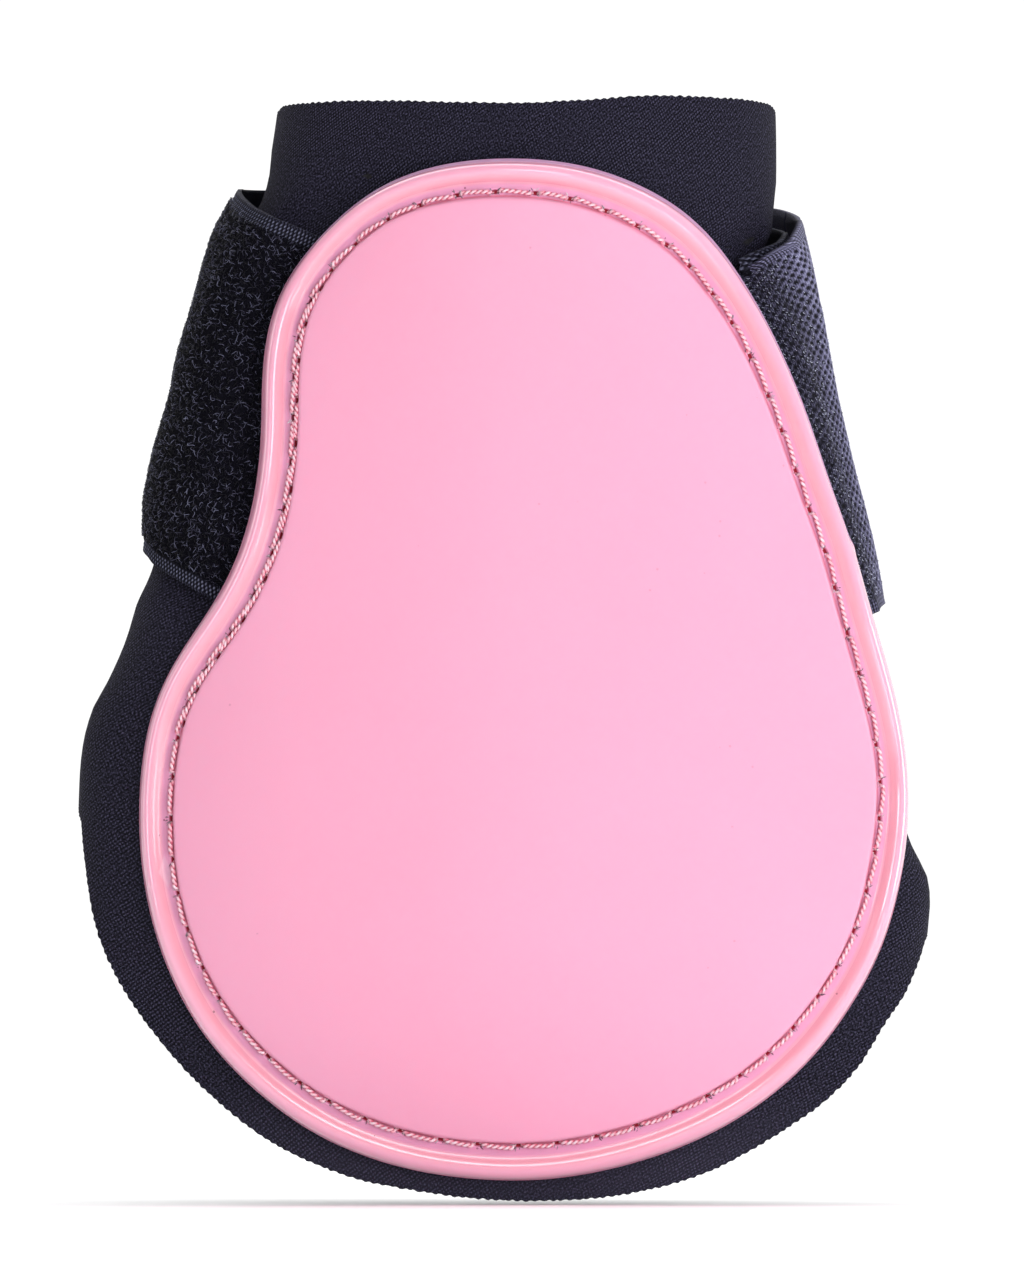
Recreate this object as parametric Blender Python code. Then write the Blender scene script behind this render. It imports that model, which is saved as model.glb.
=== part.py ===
"""Fetlock boot: a moulded strike shell sewn onto a neoprene sleeve, closed round
the leg by a loop tape and a hook tape.

Frame: metres, +Z up the leg, the shell faces -Y, +X is to the right when
looking at the shell. The origin is on the leg's axis, level with the lowest
edge of the sleeve.
"""
import math

import bmesh
import bpy
from mathutils import Vector

for old in list(bpy.data.objects):
    bpy.data.objects.remove(old, do_unlink=True)

# ------------------------------------------------------------------ sizes
MM = 0.001
GRID = 0.1367 * MM        # one unit of the front drawing
AXIS_U = 510.0            # the leg's axis in the front drawing
BASE_V = 1197.5           # the lowest edge in the front drawing

SIDE_Y = 8.0 * MM         # depth at which the sleeve is widest

JERSEY = 0.4 * MM         # knitted nylon face of the laminate
FOAM = 2.6 * MM           # chloroprene foam core
BOND = 0.3 * MM           # bond line between face and core
TAPE = 0.9 * MM           # thickness of both tapes
THREAD_R = 0.24 * MM      # sewing thread radius

SHELL_LIFT = 0.6 * MM     # shell's inner face above the sleeve
STITCH_INSET = 4.1 * MM   # seam line, inwards from the shell's edge
TUCK = 1.7 * MM           # foam crushed where a strap is sewn in
UNDER_STRAP = 0.4 * MM    # foam crushed elsewhere under the straps
HINGE_GAP = 0.5 * MM      # slit between two stretches that bend open
BACK_GAP = 8.0 * MM       # opening between the wings at the back

# front drawing: heights (v) with the sleeve's left and right outlines
SLEEVE_LEFT = [(95, 280), (150, 272), (188, 264), (240, 241), (300, 222),
               (400, 191), (500, 165), (562, 152.5), (600, 139), (640, 127),
               (681, 109), (711, 93), (745, 84), (773, 81), (820, 79.5),
               (900, 79), (1000, 84), (1100, 102), (1210, 132)]
SLEEVE_RIGHT = [(95, 775), (150, 776), (195, 776), (215, 773), (250, 762),
                (285, 764), (340, 779), (400, 796), (500, 822), (600, 852),
                (700, 880), (780, 895), (837, 907), (861, 919), (880, 927),
                (900, 931), (950, 933), (1000, 930), (1100, 912),
                (1210, 880)]
# depth of the front from the widest line, and of the back, in mm
FRONT_DEPTH = [(95, 35), (160, 36), (250, 37.5), (400, 40.5), (600, 44.5),
               (800, 47.5), (900, 47.8), (1000, 46), (1100, 42), (1210, 35)]
BACK_DEPTH = [(95, 27), (250, 27.5), (600, 30), (800, 32), (1210, 33)]
# how far the front face has turned where the corner starts, degrees
FACE_TURN = [(95, 34), (200, 27), (350, 22), (600, 25), (800, 30), (1210, 30)]
# corner radius, mm
CORNER = [(95, 17), (200, 12), (350, 10), (600, 11), (800, 10), (1210, 14)]

# cut edge of the cup, from the left side round the bottom to the right side
CUP_EDGE = [(81, 773), (82, 820), (90, 890), (103, 942), (125, 987),
            (155, 1030), (186, 1067), (225, 1104), (268, 1137), (320, 1163),
            (364, 1178), (411, 1187), (459, 1194), (500, 1197), (534, 1198),
            (586, 1196), (638, 1189), (679, 1179), (713, 1167), (755, 1145),
            (793, 1121), (827, 1096), (858, 1063), (882, 1024), (903, 993),
            (917, 962), (925, 938), (931, 900)]
# outline of the shell, clockwise from the top
SHELL_EDGE = [(500, 161), (580, 167), (650, 192), (700, 226), (740, 278),
              (775, 340), (805, 410), (830, 485), (853, 548), (868, 605),
              (885, 660), (900, 720), (908, 790), (905, 850), (893, 910),
              (872, 965), (835, 1025), (790, 1075), (735, 1115), (670, 1145),
              (600, 1165), (530, 1174), (450, 1170), (380, 1155), (310, 1125),
              (250, 1080), (200, 1025), (168, 965), (148, 900), (140, 830),
              (143, 760), (155, 705), (180, 655), (215, 605), (240, 555),
              (255, 500), (262, 440), (262, 380), (268, 330), (285, 285),
              (320, 240), (370, 195), (430, 170)]
SHELL_POINTS = 60
# section of the shell's rim: (distance in from the edge, height above the
# sleeve), mm: edge, bead, crease, sewn channel, step up to the panel
RIM = [(0.0, 1.5), (0.6, 2.8), (1.6, 3.1), (2.7, 1.8), (5.0, 1.8), (5.6, 2.4)]
PANEL_RINGS = [0.78, 0.52, 0.26]
PANEL_HEIGHT = 2.5

# straps: (u round the sleeve, height v) of their upper and lower edges.
# u is 0 at the front centre, -1 and 1 at the widest lines, -2 and 2 behind
LOOP_TOP = [(-0.50, 243), (-0.64, 237), (-0.72, 222), (-0.79, 205),
            (-0.88, 192), (-1.0, 189), (-1.5, 189), (-2.0, 192)]
LOOP_LOW = [(-0.50, 612), (-0.60, 603), (-0.70, 588), (-0.80, 568),
            (-0.90, 553), (-1.0, 550), (-1.5, 560), (-2.0, 566)]
LOOP_TOP_R = [(2.0, 192), (1.5, 207), (1.15, 224), (1.0, 228), (0.86, 233),
              (0.76, 246), (0.66, 263), (0.5, 268)]
LOOP_LOW_R = [(2.0, 566), (1.5, 580), (1.15, 592), (1.0, 595), (0.9, 597),
              (0.8, 602), (0.5, 606)]
HOOK_TOP = [(0.5, 285), (0.64, 275), (0.74, 257), (0.84, 238), (0.9, 224),
            (1.0, 218), (1.2, 211), (1.5, 205), (2.0, 194)]
HOOK_LOW = [(0.5, 622), (0.78, 613), (0.9, 603), (1.0, 600), (1.2, 597),
            (1.5, 590), (2.0, 575)]
HOOK_TOP_L = [(-2.0, 194), (-1.5, 190)]
HOOK_LOW_L = [(-2.0, 575), (-1.5, 566)]

# clear space between the sleeve and the loop tape, mm, at the top and the
# bottom edge of the tape, against u
LOOP_OFF = [(-1.0, 2.8, 0.9), (-1.3, 2.4, 1.2), (-2.0, 1.8, 1.5)]
LOOP_OFF_R = [(2.0, 1.8, 1.5), (1.5, 2.4, 1.8), (1.2, 3.2, 2.0),
              (1.0, 3.4, 2.0), (0.88, 2.6, 1.6)]
LOOP_TAIL_OFF = 0.7 * MM
LAYER = 0.8 * MM          # clear space between the two tapes at the side

# lines where the straps' sewn-in ends stop under the shell: two (x, v) each
LOOP_ROOT_END = ((352, 236), (283, 606))
HOOK_ROOT_END = ((700, 280), (812, 616))
BEND_CLEAR = 4.2 * MM     # hook tape's first bend to the shell's edge
HOOK_BEND_2 = 1.45        # u of the hook tape's second bend
HOOK_END = -1.62          # u of the hook tape's free end
TAIL_CLEAR = 3.2 * MM     # loop tape's free end to the shell's edge

COLORS = {
    "shell": ((1.0, 0.42, 0.60), 0.28, 0.0),
    "jersey": ((0.014, 0.013, 0.022), 0.85, 0.0),
    "foam": ((0.012, 0.012, 0.013), 0.9, 0.0),
    "loop": ((0.006, 0.006, 0.009), 0.95, 0.0),
    "hook": ((0.03, 0.03, 0.05), 0.55, 0.0),
    "thread": ((0.85, 0.42, 0.52), 0.6, 0.0),
    "tack": ((0.02, 0.02, 0.025), 0.7, 0.0),
}


# ------------------------------------------------------------ small tools
def gx(u):
    return (u - AXIS_U) * GRID


def gz(v):
    return (BASE_V - v) * GRID


def gv(z):
    return BASE_V - z / GRID


def curve(stations, t):
    """Monotone cubic through (t, value) stations."""
    pts = sorted(stations)
    xs = [p[0] for p in pts]
    ys = [p[1] for p in pts]
    n = len(xs)
    if t <= xs[0]:
        return ys[0]
    if t >= xs[-1]:
        return ys[-1]
    h = [xs[i + 1] - xs[i] for i in range(n - 1)]
    d = [(ys[i + 1] - ys[i]) / h[i] for i in range(n - 1)]
    m = [d[0]] + [0.0] * (n - 2) + [d[-1]]
    for i in range(1, n - 1):
        if d[i - 1] * d[i] > 0:
            w1 = 2 * h[i] + h[i - 1]
            w2 = h[i] + 2 * h[i - 1]
            m[i] = (w1 + w2) / (w1 / d[i - 1] + w2 / d[i])
    i = 0
    while t > xs[i + 1]:
        i += 1
    s = (t - xs[i]) / h[i]
    return ((2 * s**3 - 3 * s**2 + 1) * ys[i] + (s**3 - 2 * s**2 + s) * h[i] * m[i]
            + (-2 * s**3 + 3 * s**2) * ys[i + 1] + (s**3 - s**2) * h[i] * m[i + 1])


def step(a, b, t):
    """Smooth step from 0 at a to 1 at b."""
    t = min(1.0, max(0.0, (t - a) / (b - a)))
    return t * t * (3 - 2 * t)


def closed_spline(points, count):
    """Even points along a closed Catmull-Rom curve through the stations."""
    n = len(points)
    fine = []
    for i in range(n):
        p0, p1 = points[i - 1], points[i]
        p2, p3 = points[(i + 1) % n], points[(i + 2) % n]
        for k in range(24):
            t = k / 24.0
            fine.append(tuple(0.5 * (2 * p1[c] + (p2[c] - p0[c]) * t
                                     + (2 * p0[c] - 5 * p1[c] + 4 * p2[c] - p3[c]) * t * t
                                     + (3 * p1[c] - p0[c] - 3 * p2[c] + p3[c]) * t**3)
                              for c in (0, 1)))
    acc = [0.0]
    for i in range(len(fine)):
        a, b = fine[i], fine[(i + 1) % len(fine)]
        acc.append(acc[-1] + math.hypot(b[0] - a[0], b[1] - a[1]))
    out, j = [], 0
    for k in range(count):
        target = acc[-1] * k / count
        while acc[j + 1] < target:
            j += 1
        f = (target - acc[j]) / (acc[j + 1] - acc[j])
        a, b = fine[j % len(fine)], fine[(j + 1) % len(fine)]
        out.append((a[0] + (b[0] - a[0]) * f, a[1] + (b[1] - a[1]) * f))
    return out


# ------------------------------------------------------- form of the sleeve
_cache = {}


def section(z):
    """Plan of the sleeve's outer face at height z: gentle face arc, corner
    arc, straight side, and half an ellipse behind the widest line."""
    key = round(z, 7)
    if key not in _cache:
        v = gv(z)
        xl, xr = gx(curve(SLEEVE_LEFT, v)), gx(curve(SLEEVE_RIGHT, v))
        a = (xr - xl) / 2
        cx = (xr + xl) / 2
        depth = curve(FRONT_DEPTH, v) * MM
        turn = math.radians(curve(FACE_TURN, v))
        rc = curve(CORNER, v) * MM
        r1 = (a - rc * (1 - math.sin(turn))) / math.sin(turn)
        side = depth - r1 * (1 - math.cos(turn)) - rc * math.cos(turn)
        side = max(side, 0.5 * MM)
        l1, lc = r1 * turn, rc * (math.pi / 2 - turn)
        _cache[key] = (cx, a, r1, turn, rc, l1, lc, side, curve(BACK_DEPTH, v) * MM)
    return _cache[key]


def plan(s, z):
    """Plan point for arc length s from the front centre (front half)."""
    cx, a, r1, turn, rc, l1, lc, side, bb = section(z)
    g = 1 if s >= 0 else -1
    s = abs(s)
    if s <= l1:
        t = s / r1
        x, depth = r1 * math.sin(t), r1 * (math.cos(t) - math.cos(turn))
        depth += rc * math.cos(turn) + side
    elif s <= l1 + lc:
        t = turn + (s - l1) / rc
        x = r1 * math.sin(turn) + rc * (math.sin(t) - math.sin(turn))
        depth = rc * math.cos(t) + side
    else:
        x, depth = a, side - (s - l1 - lc)
    return cx + g * x, SIDE_Y - depth


def half_length(z):
    c = section(z)
    return c[5] + c[6] + c[7]


def base(u, z):
    cx, a, r1, turn, rc, l1, lc, side, bb = section(z)
    if abs(u) <= 1:
        return plan(u * (l1 + lc + side), z)
    t = (abs(u) - 1) * math.pi / 2
    g = 1 if u > 0 else -1
    return cx + g * a * math.cos(t), SIDE_Y + bb * math.sin(t)


def skin(u, z, d=0.0):
    """Point at height z, round the sleeve at u, d outside its outer face."""
    e, h = 0.004, 0.0008
    x, y = base(u, z)
    if abs(u) > 1 - e and abs(u) < 1 + e:
        g = 1 if u > 0 else -1
        tu = Vector((0, g, 0))
    else:
        x1, y1 = base(u + e, z)
        x0, y0 = base(u - e, z)
        tu = Vector((x1 - x0, y1 - y0, 0))
    xa, ya = base(u, z + h)
    xb, yb = base(u, z - h)
    tz = Vector((xa - xb, ya - yb, 2 * h))
    n = tu.cross(tz)
    n.normalize()
    return Vector((x, y, z)) + n * d


def dish(s, z, d=0.0):
    """Like skin, but on the face arc carried on past the sleeve's corner: the
    stiff shell doesn't follow the corner."""
    def at(s, z):
        cx, a, r1, turn, rc, l1, lc, side, bb = section(z)
        t = s / r1
        depth = r1 * (math.cos(t) - math.cos(turn)) + rc * math.cos(turn) + side
        return Vector((cx + r1 * math.sin(t), SIDE_Y - depth, z))
    e, h = 0.2 * MM, 0.8 * MM
    n = (at(s + e, z) - at(s - e, z)).cross(at(s, z + h) - at(s, z - h))
    n.normalize()
    return at(s, z) + n * d


def dish_s(x, z, d):
    """Arc length of the point d outside the dish that is seen at x."""
    cx, r1 = section(z)[0], section(z)[2]
    s = r1 * math.asin((x - cx) / r1)
    for _ in range(6):
        s = r1 * math.asin((x - (dish(s, z, d).x - dish(s, z).x) - cx) / r1)
    return s


def u_of_x(x, z):
    """Inverse of the front view on the face and the corner."""
    cx, a, r1, turn, rc, l1, lc, side, bb = section(z)
    g = 1 if x >= cx else -1
    w = min(abs(x - cx), a)
    if w <= r1 * math.sin(turn):
        s = r1 * math.asin(w / r1)
    else:
        q = math.sin(turn) + (w - r1 * math.sin(turn)) / rc
        s = l1 + rc * (math.asin(min(1.0, q)) - turn)
    return g * s / (l1 + lc + side)


def u_seen(x, z, d):
    """u of the point d outside the sleeve that is seen at x from the front."""
    u = u_of_x(x, z)
    for _ in range(6):
        u = u_of_x(x - (skin(u, z, d).x - base(u, z)[0]), z)
    return u


def on_line(line, z):
    (x0, v0), (x1, v1) = line
    t = (gv(z) - v0) / (v1 - v0)
    return gx(x0 + (x1 - x0) * t)


EDGE_RIGHT = [(v, x) for x, v in SHELL_EDGE[1:13]]
EDGE_LEFT = [(v, x) for x, v in SHELL_EDGE[30:43]]


def shell_side(side, z):
    """u of the shell's edge at height z."""
    stations = EDGE_RIGHT if side > 0 else EDGE_LEFT
    return u_seen(gx(curve(stations, gv(z))), z, 1.5 * MM)


def past_edge(side, u, z):
    """Distance from the shell's edge to u, outwards, along the sleeve."""
    return (side * u - side * shell_side(side, z)) * half_length(z)


# ------------------------------------------------------------- strap paths
def edge_z(u, table, table_far):
    table = table if (u > 0) == (table[0][0] > 0) else table_far
    return gz(curve(table, u))


def loop_z(u, w):
    a = edge_z(u, LOOP_TOP, LOOP_TOP_R)
    b = edge_z(u, LOOP_LOW, LOOP_LOW_R)
    return a + (b - a) * w


def hook_z(u, w):
    a = edge_z(u, HOOK_TOP, HOOK_TOP_L)
    b = edge_z(u, HOOK_LOW, HOOK_LOW_L)
    return a + (b - a) * w


def table3(table, u, w):
    a = curve([(p[0], p[1]) for p in table], u)
    b = curve([(p[0], p[2]) for p in table], u)
    return (a + (b - a) * w) * MM


def loop_off(u, z, w):
    """Inner face of the loop tape above the sleeve."""
    if u < 0:
        out = table3(LOOP_OFF, u, w)
        s = past_edge(-1, u, z) if u > -1 else 1.0
        low = -0.9 * MM + 1.8 * MM * step(0.9 * MM, 4.5 * MM, s)
        return low + (out - low) * step(3.0 * MM, 9.0 * MM, s)
    out = table3(LOOP_OFF_R, u, w)
    if u >= 1:
        return out
    s = past_edge(1, u, z)
    return LOOP_TAIL_OFF + (out - LOOP_TAIL_OFF) * step(3.0 * MM, 9.0 * MM, s)


def hook_off(u, z, w):
    """Inner face of the hook tape above the sleeve."""
    over = loop_off(u, z, w) + TAPE + LAYER
    if u < 0 or u >= 1:
        return over
    s = past_edge(1, u, z)
    return -0.9 * MM + (over + 0.9 * MM) * step(0.9 * MM, 3.7 * MM, s)


def tuck(u, z):
    """How far the sleeve is pressed in under the straps."""
    side = 1 if u > 0 else -1
    if abs(u) <= 1:
        s = past_edge(side, u, z)
        near = step(-17 * MM, -11 * MM, s) * (1 - step(7 * MM, 12 * MM, s))
        any_strap = step(-17 * MM, -11 * MM, s)
    else:
        near, any_strap = 0.0, 1.0
    zt = max(loop_z(u, 0), hook_z(u, 0)) + 1.0 * MM
    zb = min(loop_z(u, 1), hook_z(u, 1)) - 1.0 * MM
    band = (1 - step(zt, zt + 5 * MM, z)) * step(zb - 5 * MM, zb, z)
    deep = UNDER_STRAP + (TUCK - UNDER_STRAP) * near
    return -deep * band * any_strap


# ------------------------------------------------------------ mesh helpers
def material(key):
    mat = bpy.data.materials.get(key) or bpy.data.materials.new(key)
    mat.use_nodes = True
    rgb, rough, metal = COLORS[key]
    shader = mat.node_tree.nodes["Principled BSDF"]
    shader.inputs["Base Color"].default_value = (*rgb, 1)
    shader.inputs["Roughness"].default_value = rough
    shader.inputs["Metallic"].default_value = metal
    mat.diffuse_color = (*rgb, 1)
    return mat


def finish_object(bm, name, key, pivot=None):
    bmesh.ops.recalc_face_normals(bm, faces=bm.faces)
    if pivot is not None:
        for vert in bm.verts:
            vert.co -= pivot
    mesh = bpy.data.meshes.new(name)
    bm.to_mesh(mesh)
    bm.free()
    mesh.shade_smooth()
    mesh.set_sharp_from_angle(angle=math.radians(40))
    mesh.materials.append(material(key))
    obj = bpy.data.objects.new(name, mesh)
    bpy.context.scene.collection.objects.link(obj)
    if pivot is not None:
        obj.location = pivot
    return obj


def layer_solid(name, outer, inner, key, pivot=None):
    """A sheet of grid points extruded to its other face."""
    bm = bmesh.new()
    rows, cols = len(outer), len(outer[0])
    tag = bm.verts.layers.int.new("tag")
    grid = []
    for i in range(rows):
        line = []
        for j in range(cols):
            vert = bm.verts.new(outer[i][j])
            vert[tag] = i * cols + j
            line.append(vert)
        grid.append(line)
    for i in range(rows - 1):
        for j in range(cols - 1):
            bm.faces.new((grid[i][j], grid[i][j + 1], grid[i + 1][j + 1], grid[i + 1][j]))
    made = bmesh.ops.extrude_face_region(bm, geom=bm.faces[:])
    for item in made["geom"]:
        if isinstance(item, bmesh.types.BMVert):
            k = item[tag]
            item.co = inner[k // cols][k % cols]
    return finish_object(bm, name, key, pivot)


def tube_ring(name, path, radius, sides, key):
    """A closed tube whose axis runs through the path's points."""
    bm = bmesh.new()
    n = len(path)
    rings = []
    for i in range(n):
        p, n_out = path[i]
        t = (path[(i + 1) % n][0] - path[i - 1][0]).normalized()
        side = t.cross(n_out).normalized()
        up = side.cross(t).normalized()
        rings.append([bm.verts.new(p + (side * math.cos(2 * math.pi * (k + 0.5) / sides)
                                        + up * math.sin(2 * math.pi * (k + 0.5) / sides)) * radius)
                      for k in range(sides)])
    for i in range(n):
        a, b = rings[i], rings[(i + 1) % n]
        for k in range(sides):
            bm.faces.new((a[k], a[(k + 1) % sides], b[(k + 1) % sides], b[k]))
    return finish_object(bm, name, key)


# ------------------------------------------------------------- the sleeve
def top_z(u):
    """The cuff's cut edge dips a little at both sides."""
    x = base(u, gz(110))[0]
    if abs(u) > 1:
        return gz(105 + 3 * (2 - abs(u)))
    return gz(curve([(-0.037, 112), (-0.0315, 107), (-0.02, 103.5), (0.0, 105),
                     (0.02, 99), (0.031, 101), (0.0365, 110)], x))


_cup = None


def cup_edge(u):
    """Height of the sleeve's lower cut edge in the front half."""
    global _cup
    if _cup is None:
        _cup = []
        for x, v in CUP_EDGE:
            _cup.append((u_of_x(gx(x), gz(v)), v))
        _cup[0] = (-1.0, _cup[0][1])
        _cup[-1] = (1.0, _cup[-1][1])
    return gz(curve(_cup, u))


WING_LOW_L = [(-1.0, 773), (-1.15, 750), (-1.4, 690), (-1.7, 655), (-2.0, 645)]
WING_LOW_R = [(1.0, 900), (1.1, 868), (1.3, 790), (1.6, 690), (2.0, 645)]

LEVELS = [140.5, 136.0, 126.0, 116.0, 106.0, 96.0, 87.0, 80.0, 72.0]


def sleeve_grid(us, low, fractions, levels):
    """Grid of (u, z): fixed levels in the strap's band, even rows below."""
    grid = []
    columns = []
    for u in us:
        zt, zb = top_z(u), low(u)
        zs = [zt] + [q * MM for q in levels]
        base_z = zs[-1]
        zs += [base_z + (zb - base_z) * f for f in fractions]
        columns.append((u, zs))
    rows = len(columns[0][1])
    for i in range(rows):
        grid.append([(u, zs[i]) for u, zs in columns])
    return grid


def sleeve_faces(grid, upper, lower, press_upper, press_lower):
    out, inn = [], []
    for line in grid:
        out.append([skin(u, z, upper + (tuck(u, z) if press_upper else 0)) for u, z in line])
        inn.append([skin(u, z, lower + (tuck(u, z) if press_lower else 0)) for u, z in line])
    return out, inn


def laminate(prefix, us, low, fractions, levels=LEVELS, pivot=None):
    grid = sleeve_grid(us, low, fractions, levels)
    d1 = -JERSEY
    d2 = d1 - BOND
    d3 = d2 - FOAM
    d4 = d3 - BOND
    d5 = d4 - JERSEY
    layer_solid(prefix + "_outer_jersey", *sleeve_faces(grid, 0, d1, True, True), "jersey", pivot)
    layer_solid(prefix + "_foam_core", *sleeve_faces(grid, d2, d3, True, False), "foam", pivot)
    layer_solid(prefix + "_inner_jersey", *sleeve_faces(grid, d4, d5, False, False), "jersey", pivot)


FRONT_COLS = 22
front_edge = 1 - 0.5 * HINGE_GAP / (50 * MM)
front_us = [front_edge * (-1 + 2 * j / FRONT_COLS) for j in range(FRONT_COLS + 1)]


def wing_us(side, cols):
    start = 1 + 0.5 * HINGE_GAP / (30 * MM) * 2 / math.pi
    stop = 2 - 0.5 * BACK_GAP / (38 * MM) * 2 / math.pi
    return [side * (start + (stop - start) * j / cols) for j in range(cols + 1)]


# --------------------------------------------------------------- the shell
def shell_outline(count):
    return [(dish_s(gx(x), gz(v), 1.5 * MM), gz(v))
            for x, v in closed_spline(SHELL_EDGE, count)]


def inset(points, dist):
    """Points moved inwards (the outline runs clockwise)."""
    out = []
    n = len(points)
    for i in range(n):
        a, b = points[i - 1], points[(i + 1) % n]
        dx, dz = b[0] - a[0], b[1] - a[1]
        ln = math.hypot(dx, dz)
        out.append((points[i][0] + dz / ln * dist, points[i][1] - dx / ln * dist))
    return out


def build_shell():
    edge = shell_outline(SHELL_POINTS)
    centre = (0.0, gz(690))
    bm = bmesh.new()

    def ring(points, d):
        return [bm.verts.new(dish(s, z, d)) for s, z in points]

    def toward(points, f):
        return [(centre[0] + (s - centre[0]) * f, centre[1] + (z - centre[1]) * f)
                for s, z in points]

    def join(r0, r1):
        n = len(r0)
        for i in range(n):
            bm.faces.new((r0[i], r0[(i + 1) % n], r1[(i + 1) % n], r1[i]))

    def cap(r0, d):
        tip = bm.verts.new(dish(centre[0], centre[1], d))
        n = len(r0)
        for i in range(n):
            bm.faces.new((r0[i], r0[(i + 1) % n], tip))

    top = [ring(inset(edge, w * MM), h * MM) for w, h in RIM]
    panel = inset(edge, RIM[-1][0] * MM)
    top += [ring(toward(panel, f), PANEL_HEIGHT * MM) for f in PANEL_RINGS]
    low = [ring(edge, SHELL_LIFT), ring(inset(edge, 2.7 * MM), SHELL_LIFT)]
    low += [ring(panel, SHELL_LIFT)]
    low += [ring(toward(panel, f), SHELL_LIFT) for f in PANEL_RINGS]
    for a, b in zip(top, top[1:]):
        join(a, b)
    for a, b in zip(low, low[1:]):
        join(a, b)
    join(top[0], low[0])
    cap(top[-1], PANEL_HEIGHT * MM)
    cap(low[-1], SHELL_LIFT)
    return finish_object(bm, "shell", "shell")


def seam(name, d, count, outside=True):
    """One closed run of thread, in the channel or on the leg side."""
    line = inset(shell_outline(count), STITCH_INSET)
    path = []
    for s, z in line:
        if outside:
            p, q = dish(s, z, d), dish(s, z, d + MM)
        else:
            u = u_of_x(dish(s, z).x, z)
            p, q = skin(u, z, d), skin(u, z, d + MM)
        path.append((p, (q - p).normalized()))
    return tube_ring(name, path, THREAD_R, 4, "thread")


# -------------------------------------------------------------- the straps
def strap_solid(name, columns, rows, z_of, off_of, key, pivot=None, thick=TAPE, span=(0.0, 1.0)):
    """columns: functions giving u from z; the tape follows the sleeve."""
    outer, inner = [], []
    for i in range(rows + 1):
        w = span[0] + (span[1] - span[0]) * i / rows
        lo, li = [], []
        for u_of in columns:
            z = z_of(u_of(gz(400)), w)
            for _ in range(12):
                u = u_of(z)
                z = z_of(u, w)
            off = off_of(u, z, w)
            lo.append(skin(u, z, off + thick))
            li.append(skin(u, z, off))
        outer.append(lo)
        inner.append(li)
    return layer_solid(name, outer, inner, key, pivot)


def line_u(line, d):
    return lambda z: u_seen(on_line(line, z), z, d)


def const_u(u):
    return lambda z: u


def past_u(side, dist):
    """u at a distance outside the shell's edge."""
    return lambda z: shell_side(side, z) + side * dist / half_length(z)


def between(f, g, t):
    return lambda z: f(z) + (g(z) - f(z)) * t


def spread(f, g, n, first=0.0, last=1.0):
    return [between(f, g, first + (last - first) * k / n) for k in range(n + 1)]


# ------------------------------------------------------------ bend lines
def axis_points(side, v0, v1, out0, out1, depth):
    """Two points of a bend line beside the sleeve."""
    x0 = gx(v0[1]) + side * out0
    x1 = gx(v1[1]) + side * out1
    return Vector((x0, depth, gz(v0[0]))), Vector((x1, depth, gz(v1[0])))


# both wings bend along straight lines that clear the sleeve's outer face
WING_AXIS_L = axis_points(-1, (110, 278), (773, 81), 0.9 * MM, 0.9 * MM, SIDE_Y)
WING_AXIS_R = axis_points(1, (110, 775), (900, 931), 0.5 * MM, 0.5 * MM, SIDE_Y)
# the loop tape bends along the left outline of the strap
LOOP_AXIS = axis_points(-1, (190, 237), (548, 142), 1.3 * MM, 1.3 * MM, SIDE_Y)


def hinge_empty(name, a, b):
    empty = bpy.data.objects.new(name, None)
    empty.empty_display_size = 0.02
    empty.location = (a + b) / 2
    empty.rotation_mode = "QUATERNION"
    empty.rotation_quaternion = (a - b).to_track_quat("Z", "Y")
    bpy.context.scene.collection.objects.link(empty)
    return empty


def carry(empty, *objects):
    bpy.context.view_layer.update()
    for obj in objects:
        obj.parent = empty
        obj.matrix_parent_inverse = empty.matrix_world.inverted()


# ------------------------------------------------------------------ build
build_shell()
laminate("front", front_us, cup_edge, [0.25, 0.5, 0.75, 1.0])
laminate("left_wing", wing_us(-1, 7), lambda u: gz(curve(WING_LOW_L, u)), [0.5, 1.0], LEVELS[:8])
laminate("right_wing", wing_us(1, 7), lambda u: gz(curve(WING_LOW_R, u)), [0.3, 0.65, 1.0], LEVELS[:8])

CHANNEL = RIM[4][1] * MM
seam("shell_needle_thread", CHANNEL + 0.3 * MM + THREAD_R, 90)
seam("shell_bobbin_thread", -(2 * JERSEY + 2 * BOND + FOAM) - 0.7 * MM - THREAD_R, 90, False)

# loop tape: sewn-in end, then the free stretch round the back
loop_root = (spread(line_u(LOOP_ROOT_END, 0), past_u(-1, 0.3 * MM), 2)
             + spread(past_u(-1, 2.4 * MM), past_u(-1, 9.0 * MM), 3)
             + spread(past_u(-1, 9.0 * MM), const_u(-1 + 0.006), 3)[1:])
strap_solid("loop_strap_root", loop_root, 5, loop_z, loop_off, "loop")
tail_end = past_u(1, TAIL_CLEAR)
loop_free = ([const_u(-(1 + 0.012 + 0.988 * k / 7)) for k in range(7)]
             + [const_u(2 - k / 7) for k in range(8)]
             + spread(const_u(1.0), past_u(1, 9.0 * MM), 2)[1:]
             + [past_u(1, 6.5 * MM), past_u(1, 4.6 * MM), tail_end])
loop_free_obj = strap_solid("loop_strap_free", loop_free, 5, loop_z, loop_off, "loop")

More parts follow.
